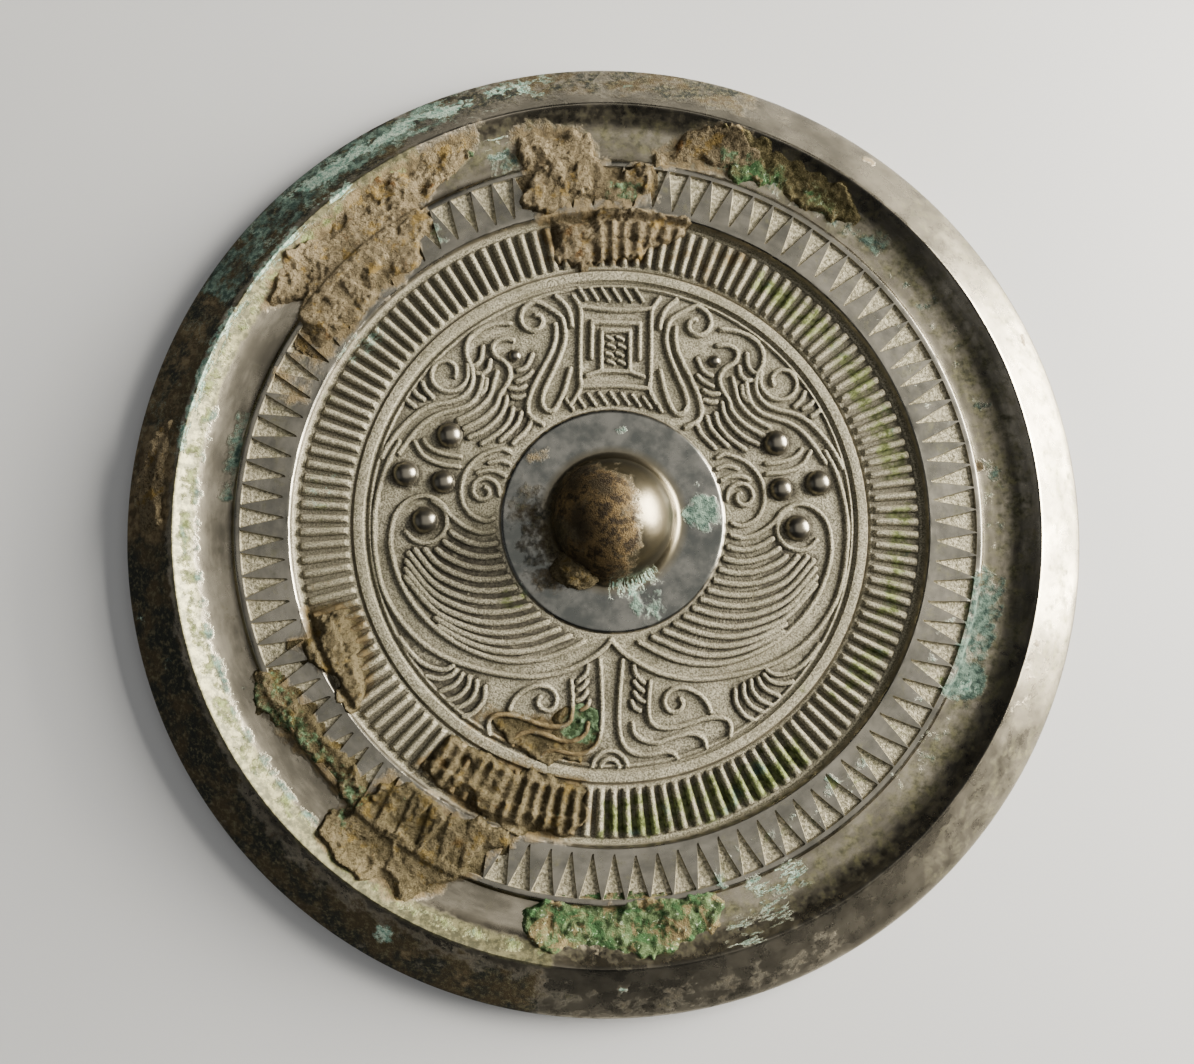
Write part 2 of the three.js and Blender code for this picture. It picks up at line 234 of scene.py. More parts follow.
TAIL = (0.72, 0.44, [
    [*FEATHER_GUIDES[0], (23, 2.5), (24.6, 2.35), (26, 1.5), (27, 0.1), (27.4, -1.8),
     (27.4, -3.8), (26.7, -6.6), (25.4, -9.4), (23.3, -12.2), (20.5, -14.6), (17, -16.5),
     (13, -17.6), (9, -17.4), (6, -16.4), (3.4, -15.1)],
    [(26.8, 9.3), (28, 7), (28.9, 4.2), (29.45, 1), (29.5, -2), (29.1, -5.6), (28.2, -9),
     (26.4, -12.2), (23.9, -15), (20.9, -17), (17.5, -18.3), (13.7, -19.2), (9.6, -19.5),
     (5.6, -18.7), (2.3, -17), (0.7, -15.7), (0, -14.8)],
])
FOOT = (0.68, 0.44, [
    [(1.4, -17.3), (1.25, -19), (1.1, -21.5), (1.02, -24), (1.15, -26), (1.6, -27.4),
     (2.6, -28.4), (4, -28.75), (5.4, -28.6), (6.6, -28.3), (7.6, -28.45), (8.3, -29)],
    [(4.85, -19.9), (4.7, -21.5), (4.65, -23), (4.8, -24.4), (5.3, -25.1), (6.2, -25.45),
     (7.4, -25.45), (8.8, -25.15), (10.2, -24.7), (11.5, -24.3), (12.8, -24.1), (13.9, -24.2),
     (14.6, -24.6), (14.85, -25.4), (14.7, -26.5)],
    [(2.7, -25), (2.9, -26), (3.7, -26.8), (4.8, -27.2), (5.9, -27.2), (7, -26.8), (8.2, -26.4),
     (9.6, -26.1), (10.8, -26.3), (11.6, -26.9), (11.8, -27.7)],
    [(12.3, -23.4), (11.9, -22.4), (11.1, -21.5), (10.1, -20.9), (9, -20.55), (7.9, -20.65),
     (7, -21.2), (6.6, -22.1), (6.8, -23), (7.5, -23.5), (8.3, -23.4), (8.8, -22.9),
     (8.9, -22.3), (8.6, -21.9)],
    spiral(0, -30.4, 2.15, 2.15, 0, 90),
    spiral(0, -30.4, 1.15, 1.15, 0, 90),
])
FANS = (0.7, 0.38, [
    [(2.8, -18), (3, -18.9), (3.7, -19.7), (4.1, -20)],
    [(2.9, -19.9), (3.4, -20.6), (4, -21)],
    [(2.9, -21.2), (3.4, -21.9), (4.1, -22.3)],
    [(2.6, -22.3), (2.9, -23), (3.6, -23.4)],
    [(15.35, -20.8), (15.4, -22), (15.9, -23.1), (16.8, -24), (17.8, -24.4)],
    [(16.4, -20.1), (16.45, -21.2), (17, -22.3), (17.9, -23), (18.9, -23.4)],
    [(17.3, -19.6), (17.4, -20.6), (18.1, -21.6), (19, -22.2), (19.9, -22.5)],
    [(18.2, -19.3), (18.6, -20.1), (19.4, -20.8), (20.8, -21.4)],
    [(18.9, -18.8), (19.6, -19.5), (21, -19.9), (22.5, -19.6)],
    [(19.3, -18.3), (20.3, -18.75), (21.8, -18.6), (23.4, -17.8), (24.8, -16.4), (25.9, -15)],
])
NIPPLES = [(20.6, 10.3, 1.6), (25.9, 5.3, 1.6), (21.2, 4.4, 1.45), (23.3, -0.5, 1.65),
           (12.7, 20.7, 0.78)]


def feathers():
    """Tail feathers: lines blended between the three guides, stopped short of the eye ring."""
    upper, middle, lower = (np.array(guide) for guide in FEATHER_GUIDES)
    lines = []
    for k in range(1, FEATHER_COUNT + 1):
        t = 2 * k / (FEATHER_COUNT + 1)
        line = (upper * (t - 1) * (t - 2) / 2 + middle * t * (2 - t) + lower * t * (t - 1) / 2)
        if k > FEATHER_COUNT - 2:
            line = line[:-1]
        line = smooth_curve(line)
        clear = np.hypot(line[:, 0] - EYE[0], line[:, 1] - EYE[1]) > EYE_RADIUS + 0.7
        lines.append(line[clear])
    return (0.82, 0.36, lines)


def hatching():
    """Short strokes above and below the panel and inside it, the same way on both halves."""
    strokes = []
    for x in np.arange(-4.3, 4.1, 1.45):
        strokes.append([(x - 0.5, 29.75), (x + 0.45, 28.3)])
    for x in np.arange(-5.7, 6.1, 1.4):
        drop = x**2 / 34
        strokes.append([(x - 0.5, 16.2 - drop), (x + 0.45, 14.9 - drop)])
    for row, y in enumerate((23.3, 22.25, 21.2, 20.15)):
        shift = 0.12 if row % 2 else -0.12
        for x in (-0.68, 0.68):
            strokes.append([(x + shift - 0.38, y + 0.16), (x + shift + 0.38, y - 0.16)])
    return (0.6, 0.4, strokes)


def smooth_curve(points, pieces=6):
    """Catmull-Rom curve through the points."""
    p = np.array(points, dtype=float)
    if len(p) < 3:
        return p
    p = np.vstack([2 * p[0] - p[1], p, 2 * p[-1] - p[-2]])
    curve = []
    for i in range(1, len(p) - 2):
        for t in np.arange(pieces) / pieces:
            curve.append(0.5 * (2 * p[i] + (p[i + 1] - p[i - 1]) * t
                                + (2 * p[i - 1] - 5 * p[i] + 4 * p[i + 1] - p[i + 2]) * t**2
                                + (3 * p[i] - p[i - 1] - 3 * p[i + 1] + p[i + 2]) * t**3))
    curve.append(p[-2])
    return np.array(curve)


def distance_to(curve, x, y):
    """Distance from each point to a polyline."""
    best = np.full(len(x), 1e9)
    for (ax, ay), (bx, by) in zip(curve[:-1], curve[1:]):
        dx, dy = bx - ax, by - ay
        t = np.clip(((x - ax) * dx + (y - ay) * dy) / (dx * dx + dy * dy + 1e-12), 0, 1)
        best = np.minimum(best, (x - ax - t * dx)**2 + (y - ay - t * dy)**2)
    return np.sqrt(best)


def raise_lines(x, y, group, height, foot, dirt_and_shade=0.5):
    """Raises `height` along the lines of one group and marks the foot of their sides, where dirt
    and painted shade go.
    """
    width, top, lines = group
    for points in lines:
        curve = points if isinstance(points, np.ndarray) else smooth_curve(points)
        if len(curve) < 2:
            continue
        low = curve.min(axis=0) - width
        high = curve.max(axis=0) + width
        near = np.flatnonzero((x > low[0]) & (x < high[0]) & (y > low[1]) & (y < high[1]))
        if len(near) == 0:
            continue
        away = distance_to(curve, x[near], y[near]) / (width / 2)
        ridge = top * np.clip(1 - away**RIDGE_FLATNESS, 0, 1)**RIDGE_ROUNDING
        height[near] = np.maximum(height[near], ridge)
        # dirt and painted shade along the foot of each side of the line
        lying = np.clip(1.15 - np.abs(away - DIRT_AND_SHADE_AT) / DIRT_AND_SHADE_WIDTH, 0, 1)
        foot[near] = np.maximum(foot[near], dirt_and_shade * lying)


def field_relief(px, py):
    """Height of the ornament above the field at points given in the mirror's frame, how dark the
    dirt and painted shade lie at the foot of its lines and round the nipples, and where the
    polished nipples stand."""
    c, s = math.cos(-PATTERN_TURN), math.sin(-PATTERN_TURN)
    x = px * c - py * s
    y = px * s + py * c
    height = np.zeros(len(x))
    foot = np.zeros(len(x))
    nipple = np.zeros(len(x))
    half = np.abs(x)
    for group in (PANEL, VOLUTE, PHOENIX, SPIRALS, TAIL, FOOT):
        raise_lines(half, y, group, height, foot)
    for group in (PLUMES, FANS, feathers()):
        raise_lines(half, y, group, height, foot, 1.0)
    raise_lines(x, y, hatching(), height, foot, 1.0)
    thin_ring = np.abs(np.hypot(px, py) - THIN_RING_RADIUS) / THIN_RING_HALF_WIDTH
    height = np.maximum(height, THIN_RING_HEIGHT * np.clip(1 - thin_ring**2, 0, 1))
    # dirt and painted shade beside the thin ring
    foot = np.maximum(foot, 0.8 * np.clip(1 - np.abs(thin_ring - 1.2) / 0.6, 0, 1))
    dirt_and_shade = foot * (1 - step_up(height, 0.16, 0.32))
    for cx, cy, radius in NIPPLES:
        away = np.hypot(half - cx, y - cy) / radius
        height = np.maximum(height, 0.85 * radius * np.sqrt(np.clip(1 - away**2, 0, 1)))
        nipple = np.maximum(nipple, np.clip((1.06 - away) / 0.12, 0, 1))
        # dirt and painted shade in a ring round each nipple's foot
        dirt_and_shade = np.maximum(dirt_and_shade, np.clip(1 - np.abs(away - 1.08) / 0.16, 0, 1))
    return height, dirt_and_shade, nipple


# ---------- turned profile


def face_z(radius):
    """Height of the polished face above the surface that the mirror lies on."""
    return max(0.0, radius**2 - REST_RADIUS**2) / (2 * FACE_CURVE_RADIUS)


PROFILE = [
    (0, FIELD_Z), (FIELD_OUTER, FIELD_Z), (30.5, 3.72), (RING_INNER, 3.78),
    (RING_INNER + 0.15, RING_Z - 0.02), (31.45, RING_Z + 0.03), (RING_OUTER - 0.15, RING_Z - 0.02),
    (RING_OUTER, 3.8), (32.35, 3.74), (COMB_INNER, COMB_FLOOR_Z), (COMB_OUTER, COMB_FLOOR_Z),
    (BAND_INNER, BAND_Z), (BAND_OUTER, BAND_Z), (TROUGH_INNER, TROUGH_Z),
    (TROUGH_OUTER, TROUGH_Z), (50.1, 4.85), (51.2, 5.5), (52.1, 6.4), (CREST_RADIUS, CREST_Z),
    (MIRROR_RADIUS, face_z(MIRROR_RADIUS) + EDGE_THICKNESS),
]


def plate_z(radius, soften=0.12):
    """Height of the plain turned back, with its corners worn round."""
    r, z = np.array(PROFILE).T
    offsets = np.linspace(-soften, soften, 5)
    return sum(np.interp(np.asarray(radius) + offset, r, z) for offset in offsets) / len(offsets)


# ---------- rings of vertices


class Rings:
    """A closed mesh built from rings of vertices, from the centre below to the centre above."""

    def __init__(self):
        self.points = []
        self.faces = []
        self.count = 0
        self.last = None

    def add(self, x, y, z):
        """Adds one ring and joins it to the ring before."""
        start = self.count
        ring = np.arange(start, start + len(x))
        self.points.append(np.column_stack([x, y, np.broadcast_to(z, x.shape)]))
        self.count += len(x)
        angles = np.unwrap(np.arctan2(y, x))
        if self.last is not None:
            self.join(*self.last, ring, angles)
        self.last = (ring, angles)

    def add_plain(self, radius, z, columns):
        """Adds one level, evenly spaced ring."""
        self.add(*circle(radius, columns), z)

    def add_centre(self, z):
        """Adds the single point on the axis where the rings start or end."""
        self.add(np.zeros(1), np.zeros(1), z)

    def join(self, a, a_angles, b, b_angles):
        """Triangles between two rings of any two counts, going round once."""
        if len(a) == 1 or len(b) == 1:
            ring, centre = (a, b[0]) if len(b) == 1 else (b, a[0])
            after = np.roll(ring, -1)
            for i, j in zip(ring, after):
                self.faces.append((i, j, centre) if len(b) == 1 else (j, i, centre))
            return
        if len(a) == len(b):
            a2, b2 = np.roll(a, -1), np.roll(b, -1)
            self.faces.extend(zip(a, a2, b2))
            self.faces.extend(zip(a, b2, b))
            return
        a_turn = np.append(a_angles, a_angles[0] + 2 * math.pi)
        b_turn = np.append(b_angles, b_angles[0] + 2 * math.pi)
        i = j = 0
        while i < len(a) or j < len(b):
            if j == len(b) or (i < len(a) and a_turn[i + 1] <= b_turn[j + 1]):
                self.faces.append((a[i], a[(i + 1) % len(a)], b[j % len(b)]))
                i += 1
            else:
                self.faces.append((a[i % len(a)], b[(j + 1) % len(b)], b[j]))
                j += 1

    def to_object(self, name):
        return mesh_object(name, np.vstack(self.points), self.faces)


def mesh_object(name, points, faces):
    """A mesh object from points in millimetres."""
    mesh = bpy.data.meshes.new(name)
    corners = np.array(faces, dtype=np.int32)
    size = corners.shape[1]
    mesh.vertices.add(len(points))
    mesh.vertices.foreach_set("co", (np.asarray(points) * MM).astype(np.float32).ravel())
    mesh.loops.add(corners.size)
    mesh.loops.foreach_set("vertex_index", corners.ravel())
    mesh.polygons.add(len(corners))
    mesh.polygons.foreach_set("loop_start", np.arange(0, corners.size, size, dtype=np.int32))
    mesh.update(calc_edges=True)
    obj = bpy.data.objects.new(name, mesh)
    bpy.context.collection.objects.link(obj)
    return obj


def shade(obj, sharp_from=None):
    """Smooth shading, with sharp edges where faces meet at more than the given angle."""
    obj.data.polygons.foreach_set("use_smooth", np.ones(len(obj.data.polygons), dtype=bool))
    if sharp_from is not None:
        obj.data.set_sharp_from_angle(angle=math.radians(sharp_from))


def apply_modifiers(obj):
    """Keeps the mesh that the modifiers give."""
    ready = obj.evaluated_get(bpy.context.evaluated_depsgraph_get())
    mesh = bpy.data.meshes.new_from_object(ready)
    obj.modifiers.clear()
    obj.data = mesh


def coordinates(obj):
    """Places of the object's vertices in millimetres, one row each."""
    points = np.empty(len(obj.data.vertices) * 3, dtype=np.float32)
    obj.data.vertices.foreach_get("co", points)
    return points.reshape(-1, 3) / MM


# ---------- the bronze casting


def underside(rings):
    """Slightly convex polished face and the rounded outer edge."""
    rings.add_centre(0.0)
    for radius in (8, REST_RADIUS, 26, 32, 38, 44, 50, 55, 59.3):
        rings.add_plain(radius, face_z(radius), RIM_COLUMNS // 2)
    low = face_z(MIRROR_RADIUS)
    top = low + EDGE_THICKNESS
    for radius, z in ((59.85, low + 0.03), (MIRROR_RADIUS, low + 0.2),
                      (MIRROR_RADIUS, top - 0.25), (59.9, top)):
        rings.add_plain(radius, z, RIM_COLUMNS)


def rim(rings):
    """Sloping rim, its crest, the cove inside it and the plain trough."""
    radii = [59.6, 58.8, 57.8, 56.8, 55.8, 54.9, 54.1, 53.6, 53.25, 53.05, 52.92, 52.78, 52.6,
             52.3, 51.9, 51.5, 51.1, 50.6, 50.1, 49.6, 49.1, 48.6, 48.0, 47.4, 46.95, 46.75,
             46.62, 46.5, 46.38, 46.25, 46.1]
    for radius in radii:
        x, y = circle(radius, RIM_COLUMNS)
        dents = 0.05 * rough(x, y, 5.0, 11)
        rings.add(x, y, plate_z(radius) + dents)


def tooth_band(rings):
    """Sunken triangles with their base outward; no two are quite alike."""
    hand = np.random.default_rng(21)
    pitch = 2 * math.pi / TOOTH_COUNT
    lean = hand.normal(0, 0.018, TOOTH_COUNT)
    fill = TOOTH_FILL * hand.uniform(0.93, 1.02, TOOTH_COUNT)
    tip = TOOTH_TIP + hand.uniform(-0.12, 0.2, TOOTH_COUNT)
    depth = TOOTH_DEPTH * hand.uniform(0.8, 1.0, TOOTH_COUNT)
    centre = np.arange(TOOTH_COUNT)
    rows = [(45.85, 0), (45.6, 0), (TOOTH_BASE, 1), (44.4, 1), (43.2, 1), (42.1, 1), (41.2, 1),
            (40.75, 1), (40.55, 1), (40.3, 0), (39.95, 0)]
    for radius, sunk in rows:
        share = np.clip((radius - tip) / (TOOTH_BASE - tip), 0.02, 1)
        half = fill / 2 * share
        offset = lean * (1 - share)
        columns = np.stack([np.full(TOOTH_COUNT, -0.5), offset - half - TOOTH_WALL,
                            offset - half, offset, offset + half, offset + half + TOOTH_WALL],
                           axis=1)
        columns[:, 1] = np.maximum(columns[:, 1], -TOOTH_REACH)
        columns[:, 5] = np.minimum(columns[:, 5], TOOTH_REACH)
        angles = ((centre[:, None] + columns) * pitch).ravel()
        inside = np.zeros((TOOTH_COUNT, TOOTH_COLUMNS))
        inside[:, 2:5] = sunk * (radius > tip)[:, None]
        x = radius * np.cos(angles)
        y = radius * np.sin(angles)
        z = plate_z(radius) - (inside * depth[:, None]).ravel() + 0.02 * rough(x, y, 4.0, 31)
        rings.add(x, y, z)


def comb_band(rings):
    """Radial ridges on a sunken floor."""
    hand = np.random.default_rng(41)
    pitch = 2 * math.pi / COMB_COUNT
    shift = hand.normal(0, 0.02, COMB_COUNT)
    tall = hand.uniform(0.85, 1.05, COMB_COUNT)
    across, ridge = np.array(COMB_SECTION).T
    rows = [(39.72, 0), (39.6, 0), (39.45, 0), (39.2, 0), (39.05, 0), (38.85, 0), (38.65, 0.1),
            (38.5, 0.55), (38.3, 0.9), (37.6, 1), (35.7, 1), (33.7, 1), (33.1, 0.9),
            (32.9, 0.55), (32.72, 0.1)]
    for radius, share in rows:
        if share == 0:
            angles = 2 * math.pi * np.arange(RING_COLUMNS) / RING_COLUMNS
            lift = 0
        else:
            angles = ((np.arange(COMB_COUNT) + shift)[:, None] + across) * pitch
            angles = angles.ravel()
            lift = (share * COMB_HEIGHT * tall[:, None] * ridge).ravel()
        x = radius * np.cos(angles)
        y = radius * np.sin(angles)
        rings.add(x, y, plate_z(radius) + lift + 0.03 * rough(x, y, 1.6, 51))


def field(rings):
    """Plain ring and the flat main field, which raise_field gives its ornament."""
    for radius in (32.55, 32.42, 32.3, 32.2, 32.1, 32.0, 31.85, 31.45, 31.05, 30.9, 30.8, 30.7,
                   30.6, 30.5):
        rings.add_plain(radius, plate_z(radius, 0.06), RING_COLUMNS)
    for radius in np.arange(FIELD_OUTER, FIELD_INNER, -FIELD_ROW):
        rings.add_plain(radius, FIELD_Z, FIELD_COLUMNS if radius > 20 else FIELD_COLUMNS // 2)


def knob_profile():
    """Disc round the knob, flared foot and dome, as radius and height."""
    profile = [(14.15, FIELD_Z), (14.05, FIELD_Z + 0.1), (13.9, BOSS_Z - 0.1),
               (13.75, BOSS_Z - 0.02)]
    profile += [(radius, BOSS_Z) for radius in (13.5, 12.5, 11.5, 10.5, 9.6)]
    foot = KNOB_FOOT_SHARE * math.pi / 2
    foot_radius = KNOB_RADIUS * math.cos(foot)
    foot_z = BOSS_Z + KNOB_HEIGHT * math.sin(foot)
    flare = KNOB_RADIUS + KNOB_FLARE - foot_radius
    for t in np.linspace(0, 1, 7):
        angle = t * math.pi / 2
        profile.append((foot_radius + flare * (1 - math.sin(angle)),
                        foot_z - (foot_z - BOSS_Z) * math.cos(angle)))
    for t in np.linspace(0, 1, 27)[1:-1]:
        angle = foot + (math.pi / 2 - foot) * t
        profile.append((KNOB_RADIUS * math.cos(angle), BOSS_Z + KNOB_HEIGHT * math.sin(angle)))
    return profile


def knob(rings):
    """Disc, foot and dome; the dome is slightly dented."""
    for radius, z in knob_profile():
        x, y = circle(radius, KNOB_COLUMNS if radius > 3 else KNOB_COLUMNS // 4)
        worn = 0.05 * rough(x, y + z, 3.0, 61) * step_up(z, BOSS_Z + 0.5, BOSS_Z + 3)
        rings.add(x, y, z + worn)
    rings.add_centre(BOSS_Z + KNOB_HEIGHT)


def bore_cutter():
    """Body that cuts the cord hole: flat floor, upright sides and a round roof, along Y."""
    half = BORE_WIDTH / 2
    outline = [(-half, 0.0), (half, 0.0)]
    for angle in np.linspace(0, math.pi, 17):
        outline.append((half * math.cos(angle), BORE_HEIGHT - half + half * math.sin(angle)))
    count = len(outline)
    stations = np.linspace(-1, 1, 13) * (KNOB_RADIUS + KNOB_FLARE + 1)
    points = []
    for k, y in enumerate(stations):
        for x, z in outline:
            wear = 1 + 0.03 * math.sin(2.1 * k + 3 * x)
            points.append((x * wear, y, BOSS_Z - 0.02 + z * wear))
    faces = []
    for k in range(len(stations) - 1):
        for i in range(count):
            a, b = k * count + i, k * count + (i + 1) % count
            faces += [(a, b, b + count), (a, b + count, a + count)]
    last = (len(stations) - 1) * count
    for i in range(1, count - 1):
        faces += [(0, i + 1, i), (last, last + i, last + i + 1)]
    return mesh_object("bore_cutter", points, faces)


def lower_field_faces(obj):
    """Merges faces where the field is flat, so that the whole stays within its budget."""
    points = coordinates(obj)
    radius = np.hypot(points[:, 0], points[:, 1])
    inside = np.flatnonzero((radius > FIELD_INNER + 0.2) & (radius < FIELD_OUTER - 0.1)
                            & (points[:, 2] > FIELD_Z - 0.5))
    group = obj.vertex_groups.new(name="field")
    group.add(inside.tolist(), 1.0, "REPLACE")
    thin = obj.modifiers.new("thin", "DECIMATE")
    thin.ratio = TRIANGLE_BUDGET / len(obj.data.polygons)
    thin.vertex_group = group.name
    apply_modifiers(obj)
    obj.vertex_groups.clear()


def raise_field(obj):
    """Moves the vertices of the field up by the ornament."""
    points = coordinates(obj)
    radius = np.hypot(points[:, 0], points[:, 1])
    inside = ((radius > FIELD_INNER) & (radius < FIELD_OUTER)
              & (np.abs(points[:, 2] - FIELD_Z) < 0.01))
    x, y = points[inside, 0], points[inside, 1]
    edge = step_up(radius[inside], FIELD_INNER, FIELD_INNER + 0.3)
    relief, _, _ = field_relief(x, y)
    points[inside, 2] += relief * edge + 0.025 * rough(x, y, 1.0, 71)
    obj.data.vertices.foreach_set("co", (points * MM).astype(np.float32).ravel())
    obj.data.update()


def casting():
    """The whole bronze body: its rings, the ornament, and the hole for the cord."""
    rings = Rings()
    for part in (underside, rim, tooth_band, comb_band, field, knob):
        part(rings)
    obj = rings.to_object("bronze_mirror")
    raise_field(obj)
    lower_field_faces(obj)
    cutter = bore_cutter()
    cut = obj.modifiers.new("bore", "BOOLEAN")
    cut.operation = "DIFFERENCE"
    cut.solver = "EXACT"
    cut.object = cutter
    weld = obj.modifiers.new("weld", "WELD")
    weld.merge_threshold = 0.001 * MM
    apply_modifiers(obj)
    bpy.data.objects.remove(cutter)
    shade(obj, SHARP_FROM)
    return obj


# ---------- stains, wear and painted shade, as masks

# Patches in the plan: first and last angle in degrees (0 is the picture's right, anticlockwise),
# inner and outer radius, strength, and how soft their border is in millimetres.
GREEN_STAINS = [
    (352, 371, 46, 50.5, 0.5, 1.5), (331, 353, 44.5, 50.5, 0.72, 1.8), (315, 333, 45, 50, 0.5, 1.5),
    (318, 366, 33, 39, 0.66, 2.5), (266, 312, 32.6, 39.4, 0.72, 2), (283, 300, 41, 45, 0.55, 1.5),
    (288, 299, 46, 51, 0.5, 1.2), (6, 62, 33, 39, 0.7, 2.5),
    (16, 52, 47, 51.5, 0.5, 1.2), (44, 80, 46.2, 52, 0.6, 2.4),
    (132, 152, 33, 43, 0.45, 2.5), (150, 160, 36, 42, 0.5, 2), (166, 184, 33, 39, 0.5, 1.5),
    (163, 178, 46, 49, 0.66, 1), (118, 124, 40, 45, 0.6, 1.2), (104, 110, 46, 50.5, 0.66, 1.2),
    (163, 232, 49.8, 51.9, 0.6, 0.8), (120, 262, 50.8, 52.8, 0.6, 0.8),
    (330, 390, 9.5, 13.6, 0.44, 1.5), (250, 300, 9.5, 13, 0.42, 1.5),
    (196, 232, 46, 50.5, 0.45, 1.5), (112, 152, 53.6, 61, 0.66, 1.5),
    (97, 180, 53.6, 61, 0.45, 1.5),
    (75, 92, 55, 58, 0.3, 1.5), (253, 268, 22, 28, 0.45, 1.5), (180, 200, 54, 60, 0.35, 2),
    (236, 262, 54, 60, 0.42, 2), (12, 40, 40.5, 45.5, 0.46, 2), (320, 350, 40, 46, 0.48, 2),
    (296, 320, 40, 46, 0.5, 2),
]
PALE_STAINS = [
    (101, 136, 55.8, 58.8, 0.78, 1.2), (97, 152, 53.4, 61, 0.34, 1.6),
    (128, 172, 52.3, 54.0, 0.7, 0.8), (146, 182, 54, 61, 0.24, 2), (289, 299, 46, 50, 0.5, 1),
    (140, 150, 36, 40, 0.45, 1), (170, 178, 34, 38, 0.45, 1), (266, 312, 7.2, 9.6, 0.55, 0.8),
]
SOIL_FILMS = [
    (3, 16, 54.5, 58.5, 0.42, 1.2), (333, 345, 52.8, 56.5, 0.5, 1), (36, 46, 54, 59, 0.36, 1.2),
    (60, 70, 54.5, 59, 0.36, 1.5), (168, 183, 53, 61, 0.8, 1.5), (183, 232, 54, 61, 0.45, 3),
    (150, 168, 54, 61, 0.62, 1.5), (232, 268, 26, 39.2, 0.55, 2), (60, 108, 32.5, 40, 0.6, 2),
    (247, 262, 54, 61, 0.45, 1.5), (55, 92, 45, 50.5, 0.4, 2), (130, 162, 39, 47, 0.62, 2),
    (190, 216, 33, 39, 0.5, 1.5), (66, 74, 31, 39, 0.6, 1), (226, 250, 38, 47, 0.6, 2),
    (80, 100, 39.5, 46, 0.62, 1.5), (268, 296, 33, 39, 0.42, 2), (110, 260, 5.5, 9.2, 0.5, 2),
    (60, 172, 11.8, 14.0, 0.46, 1),
]
# Dark patina with painted shade: on the rim's bevel on the left and top, away from the light, and
# on the disc where the knob's shadow falls.
DARK_PATINA_AND_SHADE = [
    (118, 216, 53.4, 62, 0.95, 2.5), (208, 262, 53.6, 62, 0.72, 3), (255, 300, 53.8, 62, 0.4, 4),
    (70, 118, 53.6, 62, 0.6, 3), (150, 235, 5.5, 13.8, 0.5, 3),
]
TARNISH = [
    (120, 262, 46, 50, 0.24, 2), (118, 262, 50.9, 53.2, 0.88, 0.8),
    (262, 478, 46, 53.2, 0.46, 3), (-180, 180, 39.4, 46.4, 0.3, 2),
    (-60, 60, 46.4, 49.6, 0.42, 2), (-180, 180, 53.4, 62, 0.2, 1.5), (-50, 50, 53.4, 62, 0.36, 2),
]
# Round spots: centre, radius, strength and softness.
GREEN_BLOTS = [
    (11.2, 1.0, 2.8, 0.84, 1.4), (4.2, -10.8, 3.2, 0.62, 1.6), (1.0, 11.4, 1.1, 0.66, 0.7),
    (-11.6, 1.8, 1.6, 0.5, 1), (-12.4, -9.4, 2.6, 0.62, 1.2), (-28.0, -6.0, 2.4, 0.5, 1.2),
    (24.0, -22.0, 3.0, 0.5, 1.5), (46.2, -7.4, 2.4, 0.62, 1),
    (44.0, -20.0, 2.6, 0.85, 1.2), (2.0, 56.6, 1.4, 0.6, 0.8), (48.0, 6.6, 1.6, 0.66, 0.8),
    (-23.0, -36.0, 1.5, 0.7, 0.8), (13.0, -43.0, 2.0, 0.6, 1), (19.0, -39.4, 2.2, 0.6, 1),
    (26.6, -32.4, 2.0, 0.6, 1), (15.6, -32.4, 2.0, 0.62, 1), (34.4, -11.4, 2.4, 0.55, 1),
]
PALE_BLOTS = [
    (2.4, -8.6, 1.2, 0.7, 0.8), (4.6, -11.4, 0.9, 0.6, 0.8), (44.0, -20.4, 1.4, 0.6, 0.8),
    (15.4, -50.0, 2.4, 0.46, 1.2), (19.0, -46.6, 2.4, 0.44, 1.2), (-57.4, -12.0, 1.2, 0.7, 0.8),
    (-52.6, -18.0, 1.2, 0.7, 0.8), (-27.0, -49.0, 1.4, 0.7, 0.8), (-14.8, 47.8, 1.8, 0.62, 1),
    (-12.6, 56.0, 1.2, 0.6, 0.8), (1.0, -56.0, 1.0, 0.66, 0.6),
]
SOIL_BLOTS = [
    (-2.6, 1.6, 6.0, 0.84, 3.4), (-1.8, -3.6, 5.4, 0.84, 3.0), (46.2, -7.4, 1.1, 0.9, 0.5),
    (46.5, 7.2, 0.9, 0.85, 0.5), (-9.4, 8.2, 2.4, 0.62, 2), (-8.6, -7.6, 2.4, 0.62, 1.2),
    (33.6, 47.6, 1.6, 0.6, 0.8), (21.6, 53.4, 2.0, 0.55, 1), (53.4, 23.6, 1.8, 0.55, 1),
    (50.4, 29.2, 1.4, 0.55, 0.8), (-24.0, -51.4, 1.6, 0.66, 0.8), (-18.0, -55.0, 1.8, 0.66, 1),
    (-11.0, -57.0, 1.8, 0.66, 1),
]
CRUST_GREENS = [
    (104, 112, 46, 51, 0.8, 1.5), (203, 230, 43, 50, 0.6, 2), (222, 236, 38, 44, 0.5, 1.5),
    (255, 268, 22, 28, 0.8, 1.5), (84, 92, 40, 44, 0.6, 1), (60, 76, 42, 52, 0.62, 3),
    (255, 268, 31, 39, 0.45, 2), (131, 137, 36, 42, 0.5, 1), (255, 290, 44, 53, 1.0, 2),
    (46, 62, 42, 52, 0.56, 3), (236, 250, 31, 39, 0.3, 2),
]
HALO = 2.6               # how far washed-out soil reaches round a crust


def patch_mask(patches, x, y):
    """How far inside any of the patches each point lies, from 0 to 1."""
    radius = np.hypot(x, y)
    turn = np.degrees(np.arctan2(y, x))
    mask = np.zeros(len(x))
    for first, last, inner, outer, strength, soft in patches:
        middle, half = (first + last) / 2, (last - first) / 2
        off = np.abs((turn - middle + 180) % 360 - 180)
        side = np.radians(half - off) * np.maximum(radius, 1)
        depth = np.minimum(side, np.minimum(radius - inner, outer - radius))
        mask = np.maximum(mask, strength * step_up(depth, -soft, soft))
    return mask


def blot_mask(blots, x, y):
    """The same for round spots given as centre, radius, strength and softness."""
    mask = np.zeros(len(x))
    for cx, cy, radius, strength, soft in blots:
        depth = radius - np.hypot(x - cx, y - cy)
        mask = np.maximum(mask, strength * step_up(depth, -soft, soft))
    return mask


